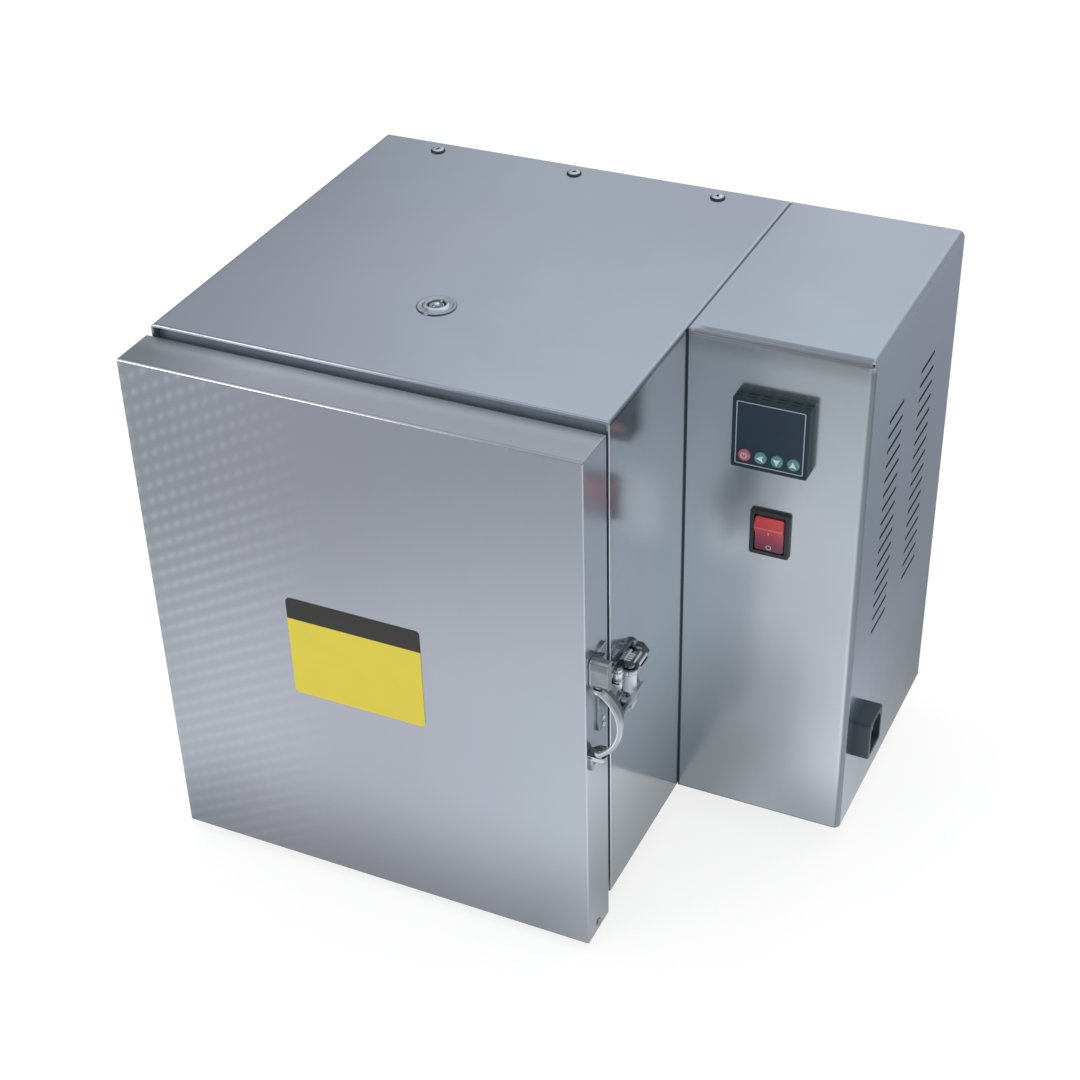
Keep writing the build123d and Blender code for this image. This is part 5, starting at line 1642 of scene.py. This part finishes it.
ventLook = {
    "flange": (
        (12.5, 0.0), (12.5, 0.4), (12.25, 0.75), (11.7, 0.95), (10.9, 0.95), (10.0, 0.6), (9.2, 0.45),
        (8.7, 0.75), (8.2, 1.4), (7.6, 1.9), (6.9, 2.1), (6.2, 1.9), (5.7, 1.3), (5.25, 0.6),
    ),
    "step": -1.0,
    "bore": 4.0,
    "tube": 6.0,
    "lid": (
        (4.85, -0.7), (4.85, 0.5), (4.6, 0.8), (3.7, 0.85), (3.1, 0.4), (2.7, 0.45), (2.3, 1.4),
        (1.7, 1.95), (0.8, 2.15),
    ),
    "stem": 3.7,
    "segments": 48,
    "sharp": 50.0,
    "metal": (0.42, 0.47, 0.53),
    "roughness": 0.2,
    "nearSide": {"slant": 0.5, "edge": (-5.0, 2.0)},
    # Painted highlights and shade: each ring's tone by its distance from the vent's axis
    "rings": (
        {"reach": (-1.0, 1.7, 1.0, 1.2), "colour": (0.8, 0.87, 0.97)},
        {"reach": (2.9, 4.0, 0.6, 0.6), "colour": (0.28, 0.32, 0.37)},
        {"reach": (4.6, 5.6, 0.4, 0.4), "colour": (0.2, 0.23, 0.27)},
        {"reach": (6.9, 8.5, 1.0, 1.0), "colour": (0.68, 0.76, 0.88), "nearSide": True},
        {"reach": (12.0, 13.0, 0.3, 0.3), "colour": (0.2, 0.23, 0.27)},
    ),
}


def ventPaintedShine():
    # Turned steel: painted highlights and painted shade in rings by distance from the vent's axis, one ring
    # lit only on the near side
    low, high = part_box("vent_bush")
    material, wire, shader, place = newMaterial("ventPaintedShine")
    apart = splitPlace(wire, place)
    across = apart.output("X") - (low[0] + high[0]) / 2
    along = apart.output("Y") - (low[1] + high[1]) / 2
    reach = wire.sum("SQRT", across * across + along * along)
    near = ventLook["nearSide"]
    first, last = near["edge"]
    colour = ventLook["metal"]
    for ring in ventLook["rings"]:
        amount = band(reach, ring["reach"])
        if ring.get("nearSide"):
            amount = amount * (1.0 - (along - across * near["slant"]).smooth(first * mm, last * mm))
        colour = mixColour(wire, amount, colour, ring["colour"])
    feedMetal(wire, shader, place, colour, 0.9, ventLook["roughness"])
    return material


def showTurned(name, corners, faces, material, body, replaced):
    piece = showPiece(name, meshFrom(name, corners, faces, material))
    piece.data.set_sharp_from_angle(angle=math.radians(ventLook["sharp"]))
    settle(piece, body, replaced)


def makeVent(material):
    low, high = inMm(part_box("vent_bush"))
    centre = ((low[0] + high[0]) / 2, (low[1] + high[1]) / 2)
    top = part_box("cabinet_wrap")[1][2] / mm
    flange, bore, tube = ventLook["flange"], ventLook["bore"], ventLook["tube"]
    step = top + ventLook["step"]
    loop = [(radius, top + rise) for radius, rise in flange]
    loop += [(flange[-1][0], step), (bore, step), (bore, low[2]), (tube, low[2]), (tube, top)]
    segments = ventLook["segments"]
    corners = []
    for radius, level in loop:
        corners += levelRing(centre, radius, level, segments)
    faces = []
    for ring in range(len(loop)):
        joinRings(faces, ring * segments, (ring + 1) % len(loop) * segments, segments)
    showTurned("ventFlange", corners, faces, material, "cabinet", ["vent_bush"])
    low, high = inMm(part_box("vent_plug"))
    profile = [(ventLook["stem"], low[2]), (ventLook["stem"], top + ventLook["lid"][0][1])]
    profile += [(radius, top + rise) for radius, rise in ventLook["lid"]]
    corners, faces = [], []
    lathed(corners, faces, centre, profile, segments)
    showTurned("ventLid", corners, faces, material, "vent_plug", ["vent_plug"])


# Floor and room

def makeFloor():
    # A floor that is white for the camera, and glows in reflections with painted tones: painted contact
    # shade near the object, and darker and lighter zones
    half = studio["floorSize"] / 2
    data = bpy.data.meshes.new("floor")
    corners = [(-half, -half, 0), (half, -half, 0), (half, half, 0), (-half, half, 0)]
    data.from_pydata(corners, [], [(0, 1, 2, 3)])
    floor = bpy.data.objects.new("floor", data)
    scene.collection.objects.link(floor)
    material, wire, shader, place = newMaterial("paleFloor")
    path = wire.make("ShaderNodeLightPath")
    mirrored = path.output("Is Glossy Ray")
    seen = studio["mirroredFloor"]
    zones = studio["floorZones"]
    apart = splitPlace(wire, place)
    across, along = apart.output("X"), apart.output("Y")
    aside = along - zones["centre"]
    fromFront = wire.sum("SQRT", across * across + aside * aside)
    light = seen["near"] - fromFront.smooth(*zones["far"]) * (seen["near"] - seen["far"])
    low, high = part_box("cabinet_wrap")
    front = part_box("door_skin")[0][1]
    past = wire.sum("MAXIMUM", wire.sum("MAXIMUM", across - high[0], low[0] - across), 0.0)
    before = wire.sum("MAXIMUM", wire.sum("MAXIMUM", along - high[1], front - along), 0.0)
    gap = wire.sum("SQRT", past * past + before * before)
    beside = across.smooth(*zones["contactRight"]) * (1.0 - along.smooth(*zones["contactFront"]))
    contact = seen["contact"] + beside * (seen["contactRight"] - seen["contact"])
    light = light * (contact + (1.0 - contact) * gap.smooth(*zones["contact"]))
    side = seen["left"] + across.smooth(*zones["left"]) * (1.0 - seen["left"])
    side = side + across.smooth(*zones["right"]) * (seen["right"] - 1.0)
    side = side + across.smooth(*zones["farRight"]) * (seen["farRight"] - seen["right"])
    light = light * side * (1.0 - along.smooth(*zones["behind"]) * (1.0 - seen["behind"]))
    camera = path.output("Is Camera Ray")
    shown = studio["floorSeen"]
    colour = mixColour(wire, camera, studio["floorColour"], shown["colour"])
    feed(
        shader,
        baseColor=mixColour(wire, mirrored, colour, (0.0, 0.0, 0.0)),
        roughness=0.8,
        emissionColor=(1.0, 1.0, 1.0, 1.0),
        emissionStrength=camera * shown["glow"] + mirrored * light,
    )
    data.materials.append(material)


def makeRoom():
    # A room that is white for the camera, lights the scene, and has other tones for reflections
    world = bpy.data.worlds.new("room")
    scene.world = world
    world.use_nodes = True
    tree = world.node_tree
    tree.nodes.clear()
    wire = Wire(tree)
    path = wire.make("ShaderNodeLightPath")
    camera = path.output("Is Camera Ray")
    mirrored = wire.sum("MAXIMUM", path.output("Is Glossy Ray"), path.output("Is Transmission Ray"))
    heading = splitPlace(wire, wire.make("ShaderNodeTexCoord").output("Generated"))
    seen = studio["mirroredRoom"]
    zones = studio["roomZones"]
    across, along, upward = heading.output("X"), heading.output("Y"), heading.output("Z")
    light = seen["left"] + across.smooth(*zones["middle"]) * (seen["middle"] - seen["left"])
    light = light - across.smooth(*zones["right"]) * (seen["middle"] - seen["right"])
    light = light + (upward.smooth(*zones["rise"]) - 0.5) * seen["rise"]
    light = light * (1.0 - (1.0 - along.smooth(*zones["front"])) * (1.0 - seen["front"]))
    light = light * (1.0 - upward.smooth(*zones["ceiling"]) * (1.0 - seen["ceiling"]))
    strength = studio["roomLight"] * (1.0 - mirrored) + mirrored * light
    strength = strength * (1.0 - camera) + camera
    values = {"Color": (1.0, 1.0, 1.0, 1.0), "Strength": strength}
    background = wire.make("ShaderNodeBackground", None, values)
    wire.make("ShaderNodeOutputWorld", None, {"Surface": background})


placeCamera()
for lampName, lampValues in studio["lamps"].items():
    placeLamp(lampName, lampValues)
makeFloor()
makeRoom()
print("camera, lamps and room placed")
materials = makeMaterials()
coatPieces(materials)
print("materials made:", len(materials))
makeScrews(materials)
makeCoils(materials)
print("screws and coils made")
makePanelPrint(materials)
makeRocker(materials)
print("panel print and rocker made")
makeLatchBase(materials["housingSteel"])
makeLatchBarrel(materials["latchChrome"])
makeHandle(materials["bowChrome"])
makeStrike(materials["latchChrome"], materials["paintedHighlightPale"])
print("latch made")
makeVent(materials["ventPaintedShine"])
print("vent made")

scene.view_settings.view_transform = "Standard"
print("finished")
